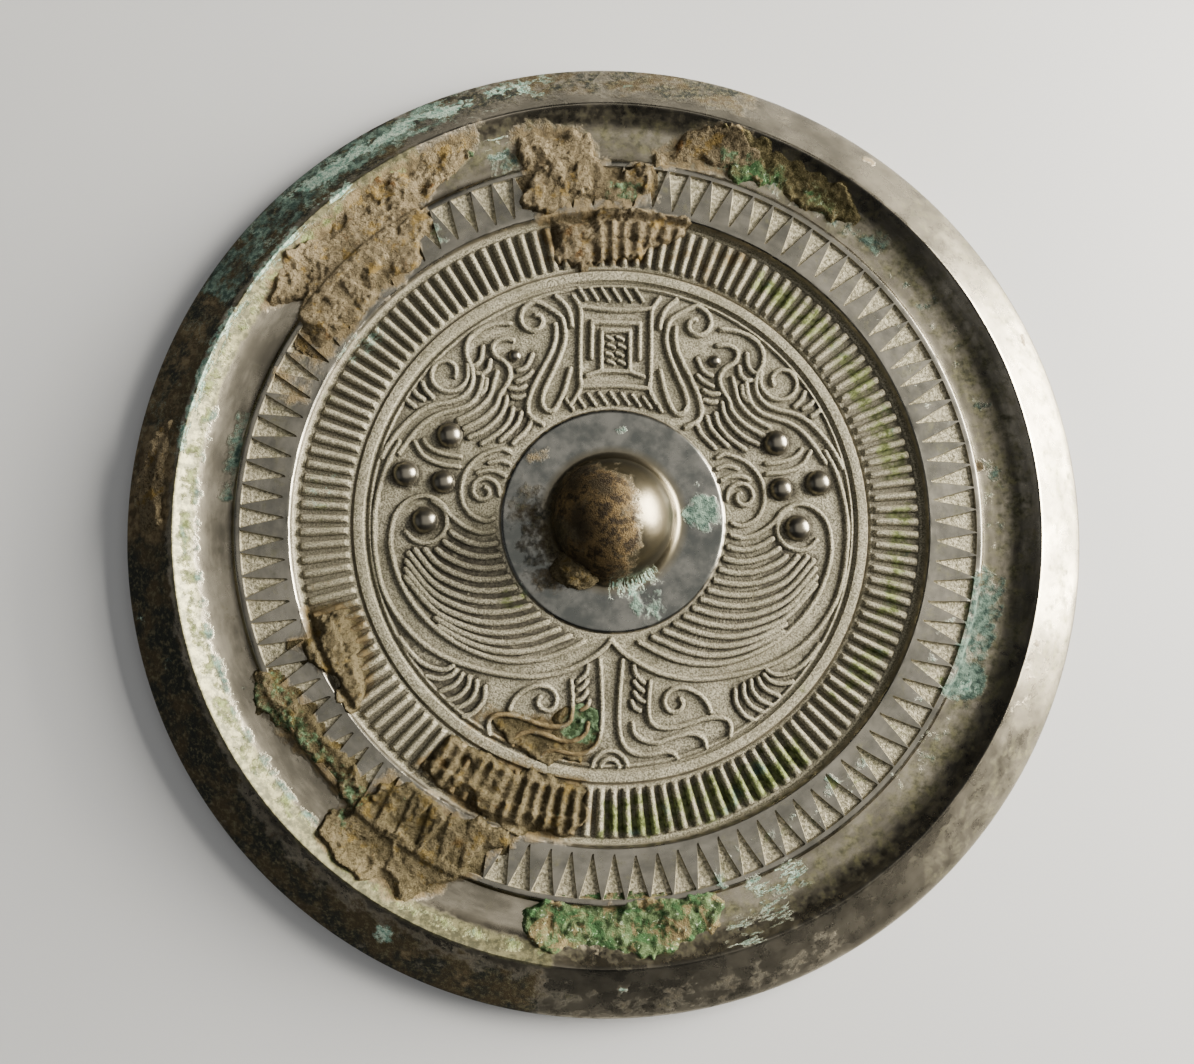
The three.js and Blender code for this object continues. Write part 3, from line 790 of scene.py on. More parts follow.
def halo_mask(x, y):
    """Soil washed out round the crusts."""
    mask = np.zeros(len(x))
    for _, slot, _, _, outline in CRUSTS:
        low = np.min(outline, axis=0) - HALO
        high = np.max(outline, axis=0) + HALO
        near = np.flatnonzero((x > low[0]) & (x < high[0]) & (y > low[1]) & (y < high[1]))
        depth = inside_outline(outline, x[near], y[near])
        strength = 0.78 if slot == "soil" else 0.5
        mask[near] = np.maximum(mask[near], strength * step_up(depth, -HALO, 0.5))
    return mask


def float_attribute(obj, name, values):
    """One number for every vertex, which a material reads by its name."""
    attribute = obj.data.attributes.new(name, "FLOAT", "POINT")
    attribute.data.foreach_set("value", np.asarray(values, dtype=np.float32))


def mark_bronze(obj):
    """Writes the masks that the bronze material reads."""
    points = coordinates(obj)
    x, y, z = points.T
    radius = np.hypot(x, y)
    back = z > BACK_FROM_Z
    in_field = back * plateau(radius, 14.0, 14.3, 32.0, 32.3)
    in_comb = back * plateau(radius, 32.2, 32.5, 39.2, 39.5)
    wedges = back * plateau(radius, 39.3, 39.6, 46.2, 46.5)
    in_band = back * (radius > TOOTH_TIP - 0.4) * (radius < 45.56)
    sunk = np.clip((BAND_Z - 0.06 - z) / 0.25, 0, 1) * in_band
    comb_top = np.clip((z - COMB_FLOOR_Z) / COMB_HEIGHT, 0, 1) * in_comb
    _, dirt_and_shade, nipple = field_relief(x, y)
    in_ornament = in_field * (radius < 30.6)
    between_ridges = (1 - step_up(comb_top, 0.04, 0.5)) * in_comb
    # painted shade on the floor between the comb's ridges, where their shadows fall
    comb_gap_shade = 0.6 * between_ridges * (radius > 32.8) * (radius < 38.8)
    disc = back * (1 - step_up(radius, 13.8, 14.1))
    along = obj.data.attributes.new("along", "FLOAT_VECTOR", "POINT")
    safe = np.maximum(radius, 1)
    streaks = np.column_stack([x / safe * 16, y / safe * 16, radius + z])
    along.data.foreach_set("vector", streaks.astype(np.float32).ravel())
    film = np.maximum(patch_mask(SOIL_FILMS, x, y), blot_mask(SOIL_BLOTS, x, y))
    masks = {
        "matte": np.clip(in_field + in_comb + sunk, 0, 1),
        "sunk": sunk,
        # dirt and painted shade at the foot of the lines, painted shade between the comb's ridges
        "dirt_and_shade": np.maximum(dirt_and_shade * in_ornament, comb_gap_shade),
        "nipple": nipple * in_ornament,
        "steel": np.maximum(disc, 0.5 * wedges),
        "dome": back * (1 - step_up(radius, 8.4, 9.4)),
        "raised": back * np.exp(-((radius - CREST_RADIUS) / 0.35)**2),
        "green": back * np.maximum(patch_mask(GREEN_STAINS, x, y), blot_mask(GREEN_BLOTS, x, y)),
        "pale": back * np.maximum(patch_mask(PALE_STAINS, x, y), blot_mask(PALE_BLOTS, x, y)),
        "film": back * np.maximum(film, halo_mask(x, y)),
        # dark patina with painted shade on the rim's far side and on the knob's disc
        "dark_patina_and_shade": back * patch_mask(DARK_PATINA_AND_SHADE, x, y),
        "tarnish": back * patch_mask(TARNISH, x, y),
    }
    for name, values in masks.items():
        float_attribute(obj, name, values)


# ---------- crusts

# Each crust: name, slot, thickness, size of its lumps, and its outline in the plan.
CRUSTS = [
    ("soil_upper_left", "soil", 0.85, 2.6, [
        (-17.2, 50.0), (-17.6, 47.8), (-20.2, 45.4), (-22.6, 43.4), (-24.4, 40.3), (-23.4, 38.2),
        (-24.6, 35.8), (-24.8, 33.0), (-27.2, 30.2), (-29.2, 28.6), (-31.4, 25.6), (-33.6, 22.4),
        (-36.2, 19.4), (-38.8, 21.4), (-39.2, 25.0), (-38.2, 28.2), (-43.6, 26.4), (-42.8, 29.6),
        (-39.6, 33.4), (-36.4, 37.0), (-33.4, 40.0), (-29.8, 42.8), (-25.4, 45.6), (-20.8, 48.2)]),
    ("soil_top", "soil", 0.9, 2.4, [
        (-12.8, 49.6), (-11.0, 50.6), (-8.0, 50.2), (-5.5, 50.9), (-3.4, 50.0), (-2.2, 47.4),
        (-0.4, 45.8), (1.2, 44.6), (3.4, 46.2), (5.0, 45.4), (4.6, 42.6), (3.4, 40.4), (0.0, 40.0),
        (-3.0, 40.6), (-6.0, 39.8), (-9.4, 39.5), (-11.0, 40.2), (-10.7, 44.0), (-12.4, 47.4)]),
    ("soil_top_comb", "soil", 0.8, 2.0, [
        (-9.6, 39.4), (-8.6, 36.2), (-7.6, 33.6), (-4.2, 32.8), (0.0, 33.2), (3.6, 33.8),
        (5.6, 35.4), (8.4, 36.2), (9.4, 38.2), (4.0, 39.7), (-3.0, 40.0)]),
    ("soil_upper_right", "soil", 0.42, 2.0, [
        (5.0, 47.4), (8.0, 49.2), (11.4, 50.2), (14.4, 50.4), (17.6, 49.0), (19.4, 46.8),
        (18.2, 44.8), (15.4, 45.3), (12.0, 45.7), (8.0, 45.8), (5.4, 46.2)]),
    ("green_upper_right", "verdigris", 0.42, 1.8, [
        (14.2, 50.2), (17.6, 50.0), (21.4, 48.4), (24.6, 46.4), (27.8, 44.2), (31.2, 41.4),
        (32.8, 38.4), (29.6, 38.4), (26.4, 40.2), (22.6, 42.2), (18.8, 43.6), (15.2, 45.0)]),
    ("soil_comb_left", "soil", 1.05, 2.2, [
        (-37.6, -11.2), (-33.6, -10.3), (-31.4, -10.8), (-30.2, -13.4), (-29.4, -17.0),
        (-29.4, -20.4), (-31.2, -22.8), (-32.8, -21.8), (-33.2, -19.4), (-35.4, -17.8),
        (-37.4, -16.2), (-39.2, -15.2), (-37.2, -13.8)]),
    ("crust_left", "soil", 0.7, 1.9, [
        (-43.2, -19.2), (-40.2, -19.2), (-38.2, -21.2), (-36.0, -23.6), (-34.6, -26.8),
        (-32.0, -29.2), (-30.2, -31.4), (-28.8, -33.8), (-31.4, -34.8), (-34.0, -31.6),
        (-37.0, -28.6), (-40.0, -26.0), (-42.6, -22.2)]),
    ("soil_lower_left", "soil", 0.8, 2.6, [
        (-34.6, -37.6), (-33.6, -35.2), (-30.6, -35.2), (-28.0, -32.2), (-24.6, -32.4),
        (-21.2, -34.4), (-17.0, -36.4), (-12.6, -37.6), (-12.6, -39.2), (-14.6, -40.6),
        (-16.2, -42.4), (-19.2, -43.2), (-21.6, -44.8), (-25.6, -44.9), (-29.6, -42.4),
        (-33.4, -39.6)]),
    ("soil_comb_below", "soil", 0.58, 1.8, [
        (-23.4, -29.6), (-19.6, -26.6), (-16.8, -28.2), (-12.0, -30.0), (-7.0, -31.4),
        (-3.2, -32.2), (-3.0, -36.0), (-5.4, -38.4), (-10.4, -38.2), (-13.4, -36.6),
        (-17.4, -35.0), (-20.8, -32.8)]),
    ("soil_foot", "soil", 0.4, 1.6, [
        (-15.2, -23.9), (-12.0, -23.8), (-8.0, -24.8), (-4.2, -22.8), (-2.1, -23.6),
        (-2.0, -27.6), (-4.8, -29.4), (-9.0, -29.0), (-13.0, -27.2)]),
    ("green_below", "verdigris", 0.7, 2.0, [
        (-10.2, -47.6), (-8.0, -46.2), (-4.0, -45.8), (0.0, -45.6), (6.0, -45.4), (11.4, -45.4),
        (12.8, -46.8), (12.4, -49.2), (9.8, -50.4), (5.8, -51.2), (1.0, -51.6), (-5.0, -51.5),
        (-9.0, -50.4), (-10.4, -49.2)]),
    ("soil_bevel", "soil", 0.45, 2.0, [
        (-57.6, 8.4), (-55.8, 10.8), (-53.9, 11.6), (-53.5, 8.0), (-53.7, 4.0), (-54.2, 0.0),
        (-55.2, -3.0), (-57.0, -2.4), (-58.6, -0.6), (-58.9, 4.0)]),
]
CRUST_STEP = 0.2
CRUST_ROOT = 0.3         # how deep a crust's hidden underside lies in the bronze
CRUST_MARGIN = 2.4       # how far its grid reaches past its outline
CRUST_DRIFT = 1.3        # how far noise bends its outline
CRUST_TO_EDGE = 0.7      # what stays free between a crust and the mirror's outer edge
CRUST_SEED, CRUST_SEED_STEP = 100, 20
FILL_REACH, FILL_SLOPE = 3.0, 0.15   # soil levels out the steps of the bronze as far as this
FILL_LIMIT = 0.35
KNOB_SOIL_CENTRE, KNOB_SOIL_SIZE = (-4.6, -6.3, 5.0), (2.9, 2.3, 2.2)


def inside_outline(outline, x, y):
    """Distance to a closed outline, positive inside it."""
    best = np.full(x.shape, 1e9)
    crossings = np.zeros(x.shape, dtype=int)
    for (ax, ay), (bx, by) in zip(outline, outline[1:] + outline[:1]):
        dx, dy = bx - ax, by - ay
        t = np.clip(((x - ax) * dx + (y - ay) * dy) / (dx * dx + dy * dy), 0, 1)
        best = np.minimum(best, np.hypot(x - ax - t * dx, y - ay - t * dy))
        if dy != 0:
            crossings += ((ay > y) != (by > y)) & (x < ax + dx * (y - ay) / dy)
    return np.where(crossings % 2 == 1, best, -best)


def hidden_relief(x, y, share):
    """Teeth, comb ridges and ornament under a crust, which lets `share` of their depth show."""
    radius = np.hypot(x, y)
    turn = np.arctan2(y, x) / (2 * math.pi)
    tooth = turn * TOOTH_COUNT
    reach = TOOTH_FILL / 2 * np.clip((radius - TOOTH_TIP) / (TOOTH_BASE - TOOTH_TIP), 0, 1)
    inside = step_up(reach - np.abs(tooth - np.round(tooth)), -0.05, 0.08)
    teeth = -TOOTH_DEPTH * inside * (radius > TOOTH_TIP) * (radius < TOOTH_BASE)
    comb = 0.5 + 0.5 * np.cos(2 * math.pi * turn * COMB_COUNT)
    in_comb = plateau(radius, 32.6, 33.2, 38.2, 38.8)
    if radius.max() < FIELD_OUTER + 2:
        ornament, _, _ = field_relief(x.ravel(), y.ravel())
        return 1.3 * share * ornament.reshape(x.shape)
    return share * teeth + COMB_HEIGHT * in_comb * (share * comb + 0.9 - share)


def crust_depth(outline, x, y, seed):
    """How far inside a crust's ragged border each point lies."""
    drift_x = x + CRUST_DRIFT * rough(x, y, 4.0, seed + 31, 5, 0.6)
    drift_y = y + CRUST_DRIFT * rough(x, y, 4.0, seed + 41, 5, 0.6)
    depth = inside_outline(outline, drift_x, drift_y) + 0.4 + 0.7 * rough(x, y, 2.0, seed, 5, 0.7)
    return np.minimum(depth, MIRROR_RADIUS - CRUST_TO_EDGE - np.hypot(x, y))


def crust_lumps(x, y, lump, seed):
    """Thickness of a crust as a share of its greatest: swellings under two broken layers."""
    swell = 0.5 + 0.5 * rough(x, y, lump * 2, seed + 5, 3)
    upper = step_up(rough(x, y, 3.0 * lump, seed + 10, 5, 0.6), -0.02, 0.03)
    lower = step_up(rough(x, y, 2.2 * lump, seed + 11, 5, 0.6), -0.18, -0.12)
    return 0.44 * swell + 0.30 * upper + 0.26 * lower


def levelled_plate(x, y):
    """Height of the bare plate, and the same with soil that levels out its steps."""
    radius = np.hypot(x, y).ravel()
    base = plate_z(radius)
    filled = base
    for offset in np.linspace(-FILL_REACH, FILL_REACH, 13):
        filled = np.maximum(filled, plate_z(radius + offset) - FILL_SLOPE * abs(offset))
    filled = np.minimum(filled, base + FILL_LIMIT)
    return base.reshape(x.shape), filled.reshape(x.shape)


def crust(name, thickness, lump, outline, seed):
    """A closed sheet with a ragged border and a lumpy top, rooted in the bronze."""
    low_x, low_y = np.min(outline, axis=0) - CRUST_MARGIN
    high_x, high_y = np.max(outline, axis=0) + CRUST_MARGIN
    x, y = np.meshgrid(np.arange(low_x, high_x, CRUST_STEP), np.arange(low_y, high_y, CRUST_STEP))
    depth = crust_depth(outline, x, y, seed)
    slope = 0.5 + 3.2 * step_up(rough(x, y, 4.5, seed + 3, 2), -0.2, 0.4)
    shelf = step_up(depth, -0.15, slope)
    height = thickness * shelf * crust_lumps(x, y, lump, seed)
    grit = 0.1 * rough(x, y, 1.1, seed + 16, 3) + 0.08 * rough(x, y, 0.5, seed + 15, 2)
    height += shelf * grit
    height -= CRUST_ROOT * 0.9 * (1 - shelf)
    thin = 0.15 + 0.6 * step_up(rough(x, y, 6.0, seed + 21, 3), -0.25, 0.35)
    thin *= 1.75 - 1.2 * thickness
    base, filled = levelled_plate(x, y)
    filled = filled + hidden_relief(x, y, thin)
    top = base + (filled - base) * shelf + height
    used = depth > -0.3
    cells = used[:-1, :-1] | used[1:, :-1] | used[:-1, 1:] | used[1:, 1:]
    cells = joined_cells(cells, np.unravel_index(np.argmax(depth[:-1, :-1]), cells.shape))
    obj = closed_sheet(name, x, y, top, base - CRUST_ROOT, cells)
    x, y, z = coordinates(obj).T
    radius = np.hypot(x, y)
    # painted shade in the low-lying parts of a crust, over the comb and the teeth only
    low_lying = 1 - step_up(z - plate_z(radius), 0.12, 0.6)
    float_attribute(obj, "hollow_shade", low_lying * (1 - step_up(radius, 45.4, 46.2)))
    # soil darker towards the bottom of the mirror (negative y)
    float_attribute(obj, "lower_darkening", step_up(-y, -8, 12))
    float_attribute(obj, "green", patch_mask(CRUST_GREENS, x, y))
    return obj


def joined_cells(cells, start):
    """The cells that hang together with the start cell. Cells that meet only at a corner get
    one more cell between them, so that no edge of the sheet has four faces."""
    while True:
        falling = cells[:-1, :-1] & cells[1:, 1:] & ~cells[1:, :-1] & ~cells[:-1, 1:]
        rising = cells[1:, :-1] & cells[:-1, 1:] & ~cells[:-1, :-1] & ~cells[1:, 1:]
        if not (falling.any() or rising.any()):
            break
        cells[1:, :-1] |= falling
        cells[:-1, :-1] |= rising
    reached = np.zeros_like(cells)
    reached[start] = True
    count = 0
    while reached.sum() > count:
        count = reached.sum()
        for axis in (0, 1):
            for step in (-1, 1):
                reached |= np.roll(reached, step, axis) & cells
    return reached


def closed_sheet(name, x, y, top, low, cells):
    """Closed mesh between two height fields over the chosen cells, its faces looking out."""
    rows, columns = x.shape
    count = rows * columns
    index = np.arange(count).reshape(rows, columns)
    a, b = index[:-1, :-1][cells], index[:-1, 1:][cells]
    c, d = index[1:, 1:][cells], index[1:, :-1][cells]
    upper = [np.column_stack([a, b, c]), np.column_stack([a, c, d])]
    lower = [np.column_stack([a, c, b]) + count, np.column_stack([a, d, c]) + count]
    padded = np.pad(cells, 1)
    walls = []
    for (shift, ends) in (((0, 1), (a, b)), ((1, 2), (b, c)), ((2, 1), (c, d)), ((1, 0), (d, a))):
        empty = ~padded[shift[0]:shift[0] + rows - 1, shift[1]:shift[1] + columns - 1][cells]
        p, q = ends[0][empty], ends[1][empty]
        walls += [np.column_stack([q, p, q + count]), np.column_stack([p, p + count, q + count])]
    faces = np.vstack(upper + lower + walls)
    points = np.column_stack([np.tile(x.ravel(), 2), np.tile(y.ravel(), 2),
                              np.concatenate([top.ravel(), low.ravel()])])
    kept, faces = np.unique(faces, return_inverse=True)
    obj = mesh_object(name, points[kept], faces.reshape(-1, 3))
    shade(obj)
    return obj


def clump(name, centre, size, seed):
    """A rough lump of soil pressed against the foot of the knob."""
    rows, columns = 40, 72
    polar = np.repeat(math.pi * np.arange(1, rows) / rows, columns)
    turn = np.tile(2 * math.pi * np.arange(columns) / columns, rows - 1)
    ball = np.column_stack([np.sin(polar) * np.cos(turn), np.sin(polar) * np.sin(turn),
                            -np.cos(polar)])
    ball = np.vstack([(0, 0, -1), ball, (0, 0, 1)])
    swell = 1 + 0.3 * rough(ball[:, 0] * 3 + 9, ball[:, 1] * 3 + ball[:, 2] * 4, 1.6, seed, 4, 0.6)
    ball = ball * swell[:, None] * np.array(size) + np.array(centre)
    faces = []
    for j in range(columns):
        k = (j + 1) % columns
        faces.append((0, 1 + k, 1 + j))
        for i in range(rows - 2):
            a, b = 1 + i * columns + j, 1 + i * columns + k
            faces += [(a, b, b + columns), (a, b + columns, a + columns)]
        end = 1 + (rows - 2) * columns
        faces.append((end + j, end + k, len(ball) - 1))
    obj = mesh_object(name, ball, faces)
    shade(obj)
    for mask, value in (("hollow_shade", 0.0), ("lower_darkening", 1.0), ("green", 0.0)):
        float_attribute(obj, mask, np.full(len(ball), value))
    return obj


# ---------- materials


class Shader:
    """Short hands for building one node material."""

    def __init__(self, name):
        self.material = bpy.data.materials.new(name)
        self.material.use_nodes = True
        self.tree = self.material.node_tree
        self.surface = self.tree.nodes["Principled BSDF"]
        self.place = self.tree.nodes.new("ShaderNodeTexCoord").outputs["Object"]

    def put(self, socket, value):
        """Links a socket to another, or sets it to a colour or a number."""
        if isinstance(value, bpy.types.NodeSocket):
            self.tree.links.new(value, socket)
        elif isinstance(value, tuple):
            socket.default_value = (*value, 1.0)
        else:
            socket.default_value = value

    def add(self, kind, inputs):
        """Adds one node and fills the inputs that are given by name or number."""
        node = self.tree.nodes.new("ShaderNode" + kind)
        for key, value in inputs.items():
            self.put(node.inputs[key], value)
        return node

    def mask(self, name):
        node = self.add("Attribute", {})
        node.attribute_name = name
        return node.outputs["Fac"]

    def noise(self, size, detail=4.0, roughness=0.6, distortion=0.0):
        """Noise with bumps about `size` millimetres across."""
        return self.add("TexNoise", {
            "Vector": self.place, "Scale": 1 / (size * MM), "Detail": detail,
            "Roughness": roughness, "Distortion": distortion}).outputs["Fac"]

    def streaks(self, size, detail=4.0, roughness=0.6):
        """Noise drawn out along the rim, in millimetres."""
        around = self.add("Attribute", {})
        around.attribute_name = "along"
        return self.add("TexNoise", {
            "Vector": around.outputs["Vector"], "Scale": 1 / size, "Detail": detail,
            "Roughness": roughness}).outputs["Fac"]

    def math(self, operation, a, b=0.5):
        node = self.add("Math", {0: a, 1: b})
        node.operation = operation
        return node.outputs[0]

    def fade(self, value, low, high, start=0.0, end=1.0):
        """Smooth change from `start` at `low` to `end` at `high`."""
        node = self.add("MapRange", {"Value": value, "From Min": low, "From Max": high,
                                     "To Min": start, "To Max": end})
        node.interpolation_type = "SMOOTHSTEP"
        return node.outputs["Result"]

    def mix(self, share, a, b):
        """Mix of two colours."""
        node = self.add("Mix", {})
        node.data_type = "RGBA"
        for number, value in ((0, share), (6, a), (7, b)):
            self.put(node.inputs[number], value)
        return node.outputs[2]

    def mottle(self, a, b, low, high, *noise):
        """Patches of two colours: `a` where the noise is under `low`, `b` where over `high`."""
        return self.mix(self.fade(self.noise(*noise), low, high), a, b)

    def blend(self, share, a, b):
        """Mix of two numbers."""
        return self.add("Mix", {0: share, 2: a, 3: b}).outputs[0]

    def bump(self, height, distance, strength=1.0, below=None):
        """Bump `distance` millimetres high, on top of the bump below."""
        inputs = {"Height": height, "Distance": distance * MM, "Strength": strength}
        if below is not None:
            inputs["Normal"] = below
        return self.add("Bump", inputs).outputs["Normal"]

    def finish(self, colour, roughness, specular, normal):
        """Fills the surface and gives the finished material."""
        for key, value in (("Base Color", colour), ("Roughness", roughness),
                           ("Specular IOR Level", specular), ("Normal", normal)):
            self.put(self.surface.inputs[key], value)
        return self.material

    def gritty(self, height):
        """Coarse lumps `height` millimetres high over a fine grain."""
        grain = self.bump(self.noise(0.24, 3, 0.6), 0.14)
        return self.bump(self.noise(0.9, 7, 0.72), height, 1.0, grain)

    def torn(self, mask, size, low=0.5, high=0.62):
        """A mask broken up by noise, with ragged borders."""
        return self.fade(self.math("ADD", mask, self.noise(size, 6, 0.65)), low + 0.5, high + 0.5)


def bronze_material():
    """Bright, cast, tarnished and patinated bronze, then films of soil, green and pale crust; with
    painted shade on the rim's far side, beside the knob, at the foot of the lines and between the
    comb's ridges.
    """
    s = Shader("bronze")
    matte, sunk, raised = s.mask("matte"), s.mask("sunk"), s.mask("raised")
    steely, nipple = s.mask("steel"), s.mask("nipple")
    # bare metal: polished, steely round the knob, and rough as cast
    cloud = s.math("MULTIPLY", s.math("ADD", s.noise(9.0, 5, 0.55), s.streaks(1.6, 5, 0.6)), 0.5)
    grain = s.noise(0.22, 3, 0.6)
    polished = s.mix(s.fade(cloud, 0.38, 0.62), (0.2, 0.183, 0.145), (0.38, 0.345, 0.275))
    steel = s.mottle((0.13, 0.135, 0.126), (0.25, 0.245, 0.222), 0.36, 0.64, 3.5, 6, 0.6)
    steel = s.mix(s.mask("dome"), steel, (0.165, 0.147, 0.106))
    colour = s.mix(steely, polished, steel)
    cast = s.mix(s.fade(grain, 0.32, 0.68), (0.13, 0.12, 0.088), (0.44, 0.41, 0.315))
    cast = s.mix(s.fade(s.noise(6.0, 4, 0.6), 0.35, 0.65, 0.0, 0.35), cast, (0.16, 0.15, 0.10))
    colour = s.mix(matte, colour, cast)
    tooth = s.mottle((0.2, 0.185, 0.135), (0.5, 0.46, 0.345), 0.35, 0.65, 0.4, 3, 0.6)
    colour = s.mix(sunk, colour, tooth)
    worn = s.math("MULTIPLY", raised, s.fade(s.noise(1.2), 0.3, 0.6))
    colour = s.mix(s.math("MULTIPLY", worn, 0.22), colour, (0.50, 0.47, 0.40))
    colour = s.mix(nipple, colour, (0.2, 0.187, 0.155))
    # tarnish, and dark patina with painted shade on the side away from the light
    tarnish = s.torn(s.mask("tarnish"), 1.4, 0.28, 0.62)
    brownish = s.mottle((0.06, 0.062, 0.032), (0.2, 0.19, 0.105), 0.4, 0.62, 0.9, 5, 0.7)
    colour = s.mix(s.math("MULTIPLY", tarnish, 0.86), colour, brownish)
    dark_patina_and_shade = s.fade(s.math("ADD", s.mask("dark_patina_and_shade"), s.noise(1.8, 6, 0.65)), 0.86, 1.16)
    crusted = s.fade(s.noise(4.0, 5, 0.6), 0.42, 0.58)
    patina_and_shade_colour = s.mix(crusted, (0.022, 0.025, 0.019), (0.075, 0.056, 0.028))
    patina_and_shade_colour = s.mottle(patina_and_shade_colour, (0.17, 0.155, 0.09), 0.46, 0.72, 0.6, 4, 0.7)
    colour = s.mix(dark_patina_and_shade, colour, patina_and_shade_colour)
    # thin films of soil, green corrosion, dirt and painted shade at the foot of the lines and
    # between the comb's ridges
    film = s.torn(s.mask("film"), 2.2, 0.52, 0.78)
    soil = s.mottle((0.075, 0.056, 0.028), (0.20, 0.157, 0.09), 0.35, 0.65, 1.1)
    baked = s.mottle((0.03, 0.02, 0.009), (0.185, 0.13, 0.06), 0.4, 0.6, 1.5, 7, 0.74)
    baked = s.mix(s.fade(s.noise(3.0, 6, 0.7), 0.5, 0.6, 0.0, 0.85), baked, (0.035, 0.027, 0.015))
    soil = s.mix(s.mask("dome"), soil, baked)
    colour = s.mix(film, colour, soil)
    green = s.torn(s.mask("green"), 1.9, 0.55, 0.75)
    moss = s.mottle((0.05, 0.085, 0.07), (0.20, 0.28, 0.225), 0.35, 0.65, 0.9)
    olive = s.mottle((0.07, 0.085, 0.03), (0.25, 0.28, 0.13), 0.35, 0.65, 0.7)
    yellowed = s.math("MAXIMUM", matte, s.fade(s.mask("tarnish"), 0.45, 0.75))
    moss = s.mix(s.math("MULTIPLY", yellowed, s.fade(s.noise(2.6), 0.28, 0.45)), moss, olive)
    colour = s.mix(green, colour, moss)
    # dirt and painted shade at the foot of the lines and in the comb's gaps, mixed in nearly black
    colour = s.mix(s.math("MULTIPLY", s.mask("dirt_and_shade"), 0.86), colour, (0.03, 0.026, 0.02))
    # pale veins and clots of corrosion
    spread = s.math("MULTIPLY", s.mask("pale"), s.fade(s.noise(4.0, 3), 0.30, 0.52))
    veins = s.math("ABSOLUTE", s.math("SUBTRACT", s.streaks(2.4, 7, 0.7), 0.5))
    veins = s.math("SUBTRACT", spread, s.math("MULTIPLY", veins, 9.0))
    clots = s.math("ADD", spread, s.noise(1.8, 7, 0.72))
    pale = s.math("MAXIMUM", s.fade(veins, 0.1, 0.5), s.fade(clots, 1.1, 1.22))
    chalk = s.mottle((0.13, 0.25, 0.20), (0.50, 0.60, 0.50), 0.35, 0.62, 0.6, 5, 0.7)
    colour = s.mix(pale, colour, chalk)
    # how metallic, how rough and how uneven the surface is
    dull = s.math("MAXIMUM", s.math("MAXIMUM", film, green), pale)
    dull = s.math("MAXIMUM", dull, s.math("MULTIPLY", dark_patina_and_shade, 0.8))
    metal = s.blend(s.math("MULTIPLY", tarnish, 0.45), 0.97, 0.0)
    metal = s.blend(matte, metal, 0.12)
    metal = s.blend(nipple, metal, 0.9)
    metal = s.blend(sunk, metal, 0.3)
    metal = s.blend(dull, metal, 0.0)
    gloss = s.fade(s.noise(3.0), 0.3, 0.7, 0.24, 0.34)
    shine = s.blend(tarnish, gloss, 0.42)
    shine = s.blend(s.mask("dome"), shine, 0.34)
    shine = s.blend(matte, shine, 0.6)
    shine = s.blend(nipple, shine, 0.3)
    shine = s.blend(dull, shine, 0.85)
    pits = s.bump(s.noise(1.0, 8, 0.7), 0.03, 0.35)
    coarse = s.math("SUBTRACT", s.math("MAXIMUM", matte, dull), nipple)
    deep = s.math("MULTIPLY", grain, s.math("MAXIMUM", coarse, 0.0))
    s.put(s.surface.inputs["Metallic"], metal)
    return s.finish(colour, shine, s.blend(matte, 0.5, 0.2), s.bump(deep, 0.13, 1.0, pits))


def soil_material():
    """Dry earth in browns, with painted shade in its hollows, darker towards the bottom of the
    mirror, and mossy in places.
    """
    s = Shader("soil")
    patches = s.fade(s.noise(3.2, 5, 0.65), 0.38, 0.62)
    colour = s.mix(patches, (0.135, 0.11, 0.07), (0.27, 0.225, 0.15))
    colour = s.mottle(colour, (0.24, 0.20, 0.13), 0.35, 0.7, 0.7, 4, 0.7)
    colour = s.mottle(colour, (0.12, 0.072, 0.032), 0.6, 0.7, 5.5, 4, 0.6, 1.0)
    colour = s.mix(s.fade(s.noise(0.4, 4, 0.7), 0.5, 0.62, 0.0, 0.75), colour, (0.065, 0.05, 0.03))
    colour = s.mix(s.fade(s.noise(0.33, 4, 0.7), 0.56, 0.66, 0.0, 0.7), colour, (0.33, 0.27, 0.175))
    golden = s.fade(s.noise(2.2, 5, 0.65), 0.54, 0.64, 0.0, 0.7)
    colour = s.mix(golden, colour, (0.235, 0.165, 0.06))
    # painted shade in the crust's hollows
    hollow_shade = s.math("MULTIPLY", s.mask("hollow_shade"), s.noise(1.4))
    colour = s.mix(hollow_shade, colour, (0.05, 0.04, 0.022))
    # darker towards the bottom of the mirror
    colour = s.mix(s.math("MULTIPLY", s.mask("lower_darkening"), 0.36), colour, (0.05, 0.046, 0.018))
    green = s.torn(s.mask("green"), 1.2, 0.55, 0.72)
    mossy = s.mottle((0.045, 0.07, 0.035), (0.17, 0.24, 0.145), 0.38, 0.62, 0.7)
    colour = s.mix(green, colour, mossy)
    return s.finish(colour, 0.95, 0.15, s.gritty(0.6))


def verdigris_material():
    """Green and chalky corrosion that breaks up into brown earth."""
    s = Shader("verdigris")
    patches = s.fade(s.noise(1.8, 5, 0.65), 0.35, 0.65)
    colour = s.mix(patches, (0.035, 0.055, 0.025), (0.165, 0.225, 0.115))
    colour = s.mottle(colour, (0.07, 0.135, 0.06), 0.5, 0.6, 2.4, 5, 0.6, 0.5)
    colour = s.mottle(colour, (0.21, 0.17, 0.095), 0.49, 0.6, 3.2, 5, 0.7, 1.0)
    colour = s.mottle(colour, (0.50, 0.58, 0.42), 0.58, 0.72, 0.6, 4, 0.7)
    brown = s.mottle((0.07, 0.062, 0.03), (0.21, 0.18, 0.10), 0.35, 0.65, 1.2, 5, 0.65)
    colour = s.mix(s.torn(s.mask("green"), 2.4, 0.5, 0.66), brown, colour)
    return s.finish(colour, 0.9, 0.2, s.gritty(0.55))


def floor_material():
    s = Shader("floor")
    colour = s.mix(s.noise(40.0, 3, 0.5), (0.50, 0.505, 0.51), (0.54, 0.545, 0.55))
    s.put(s.surface.inputs["Base Color"], colour)
    s.surface.inputs["Roughness"].default_value = 0.6
    return s.material


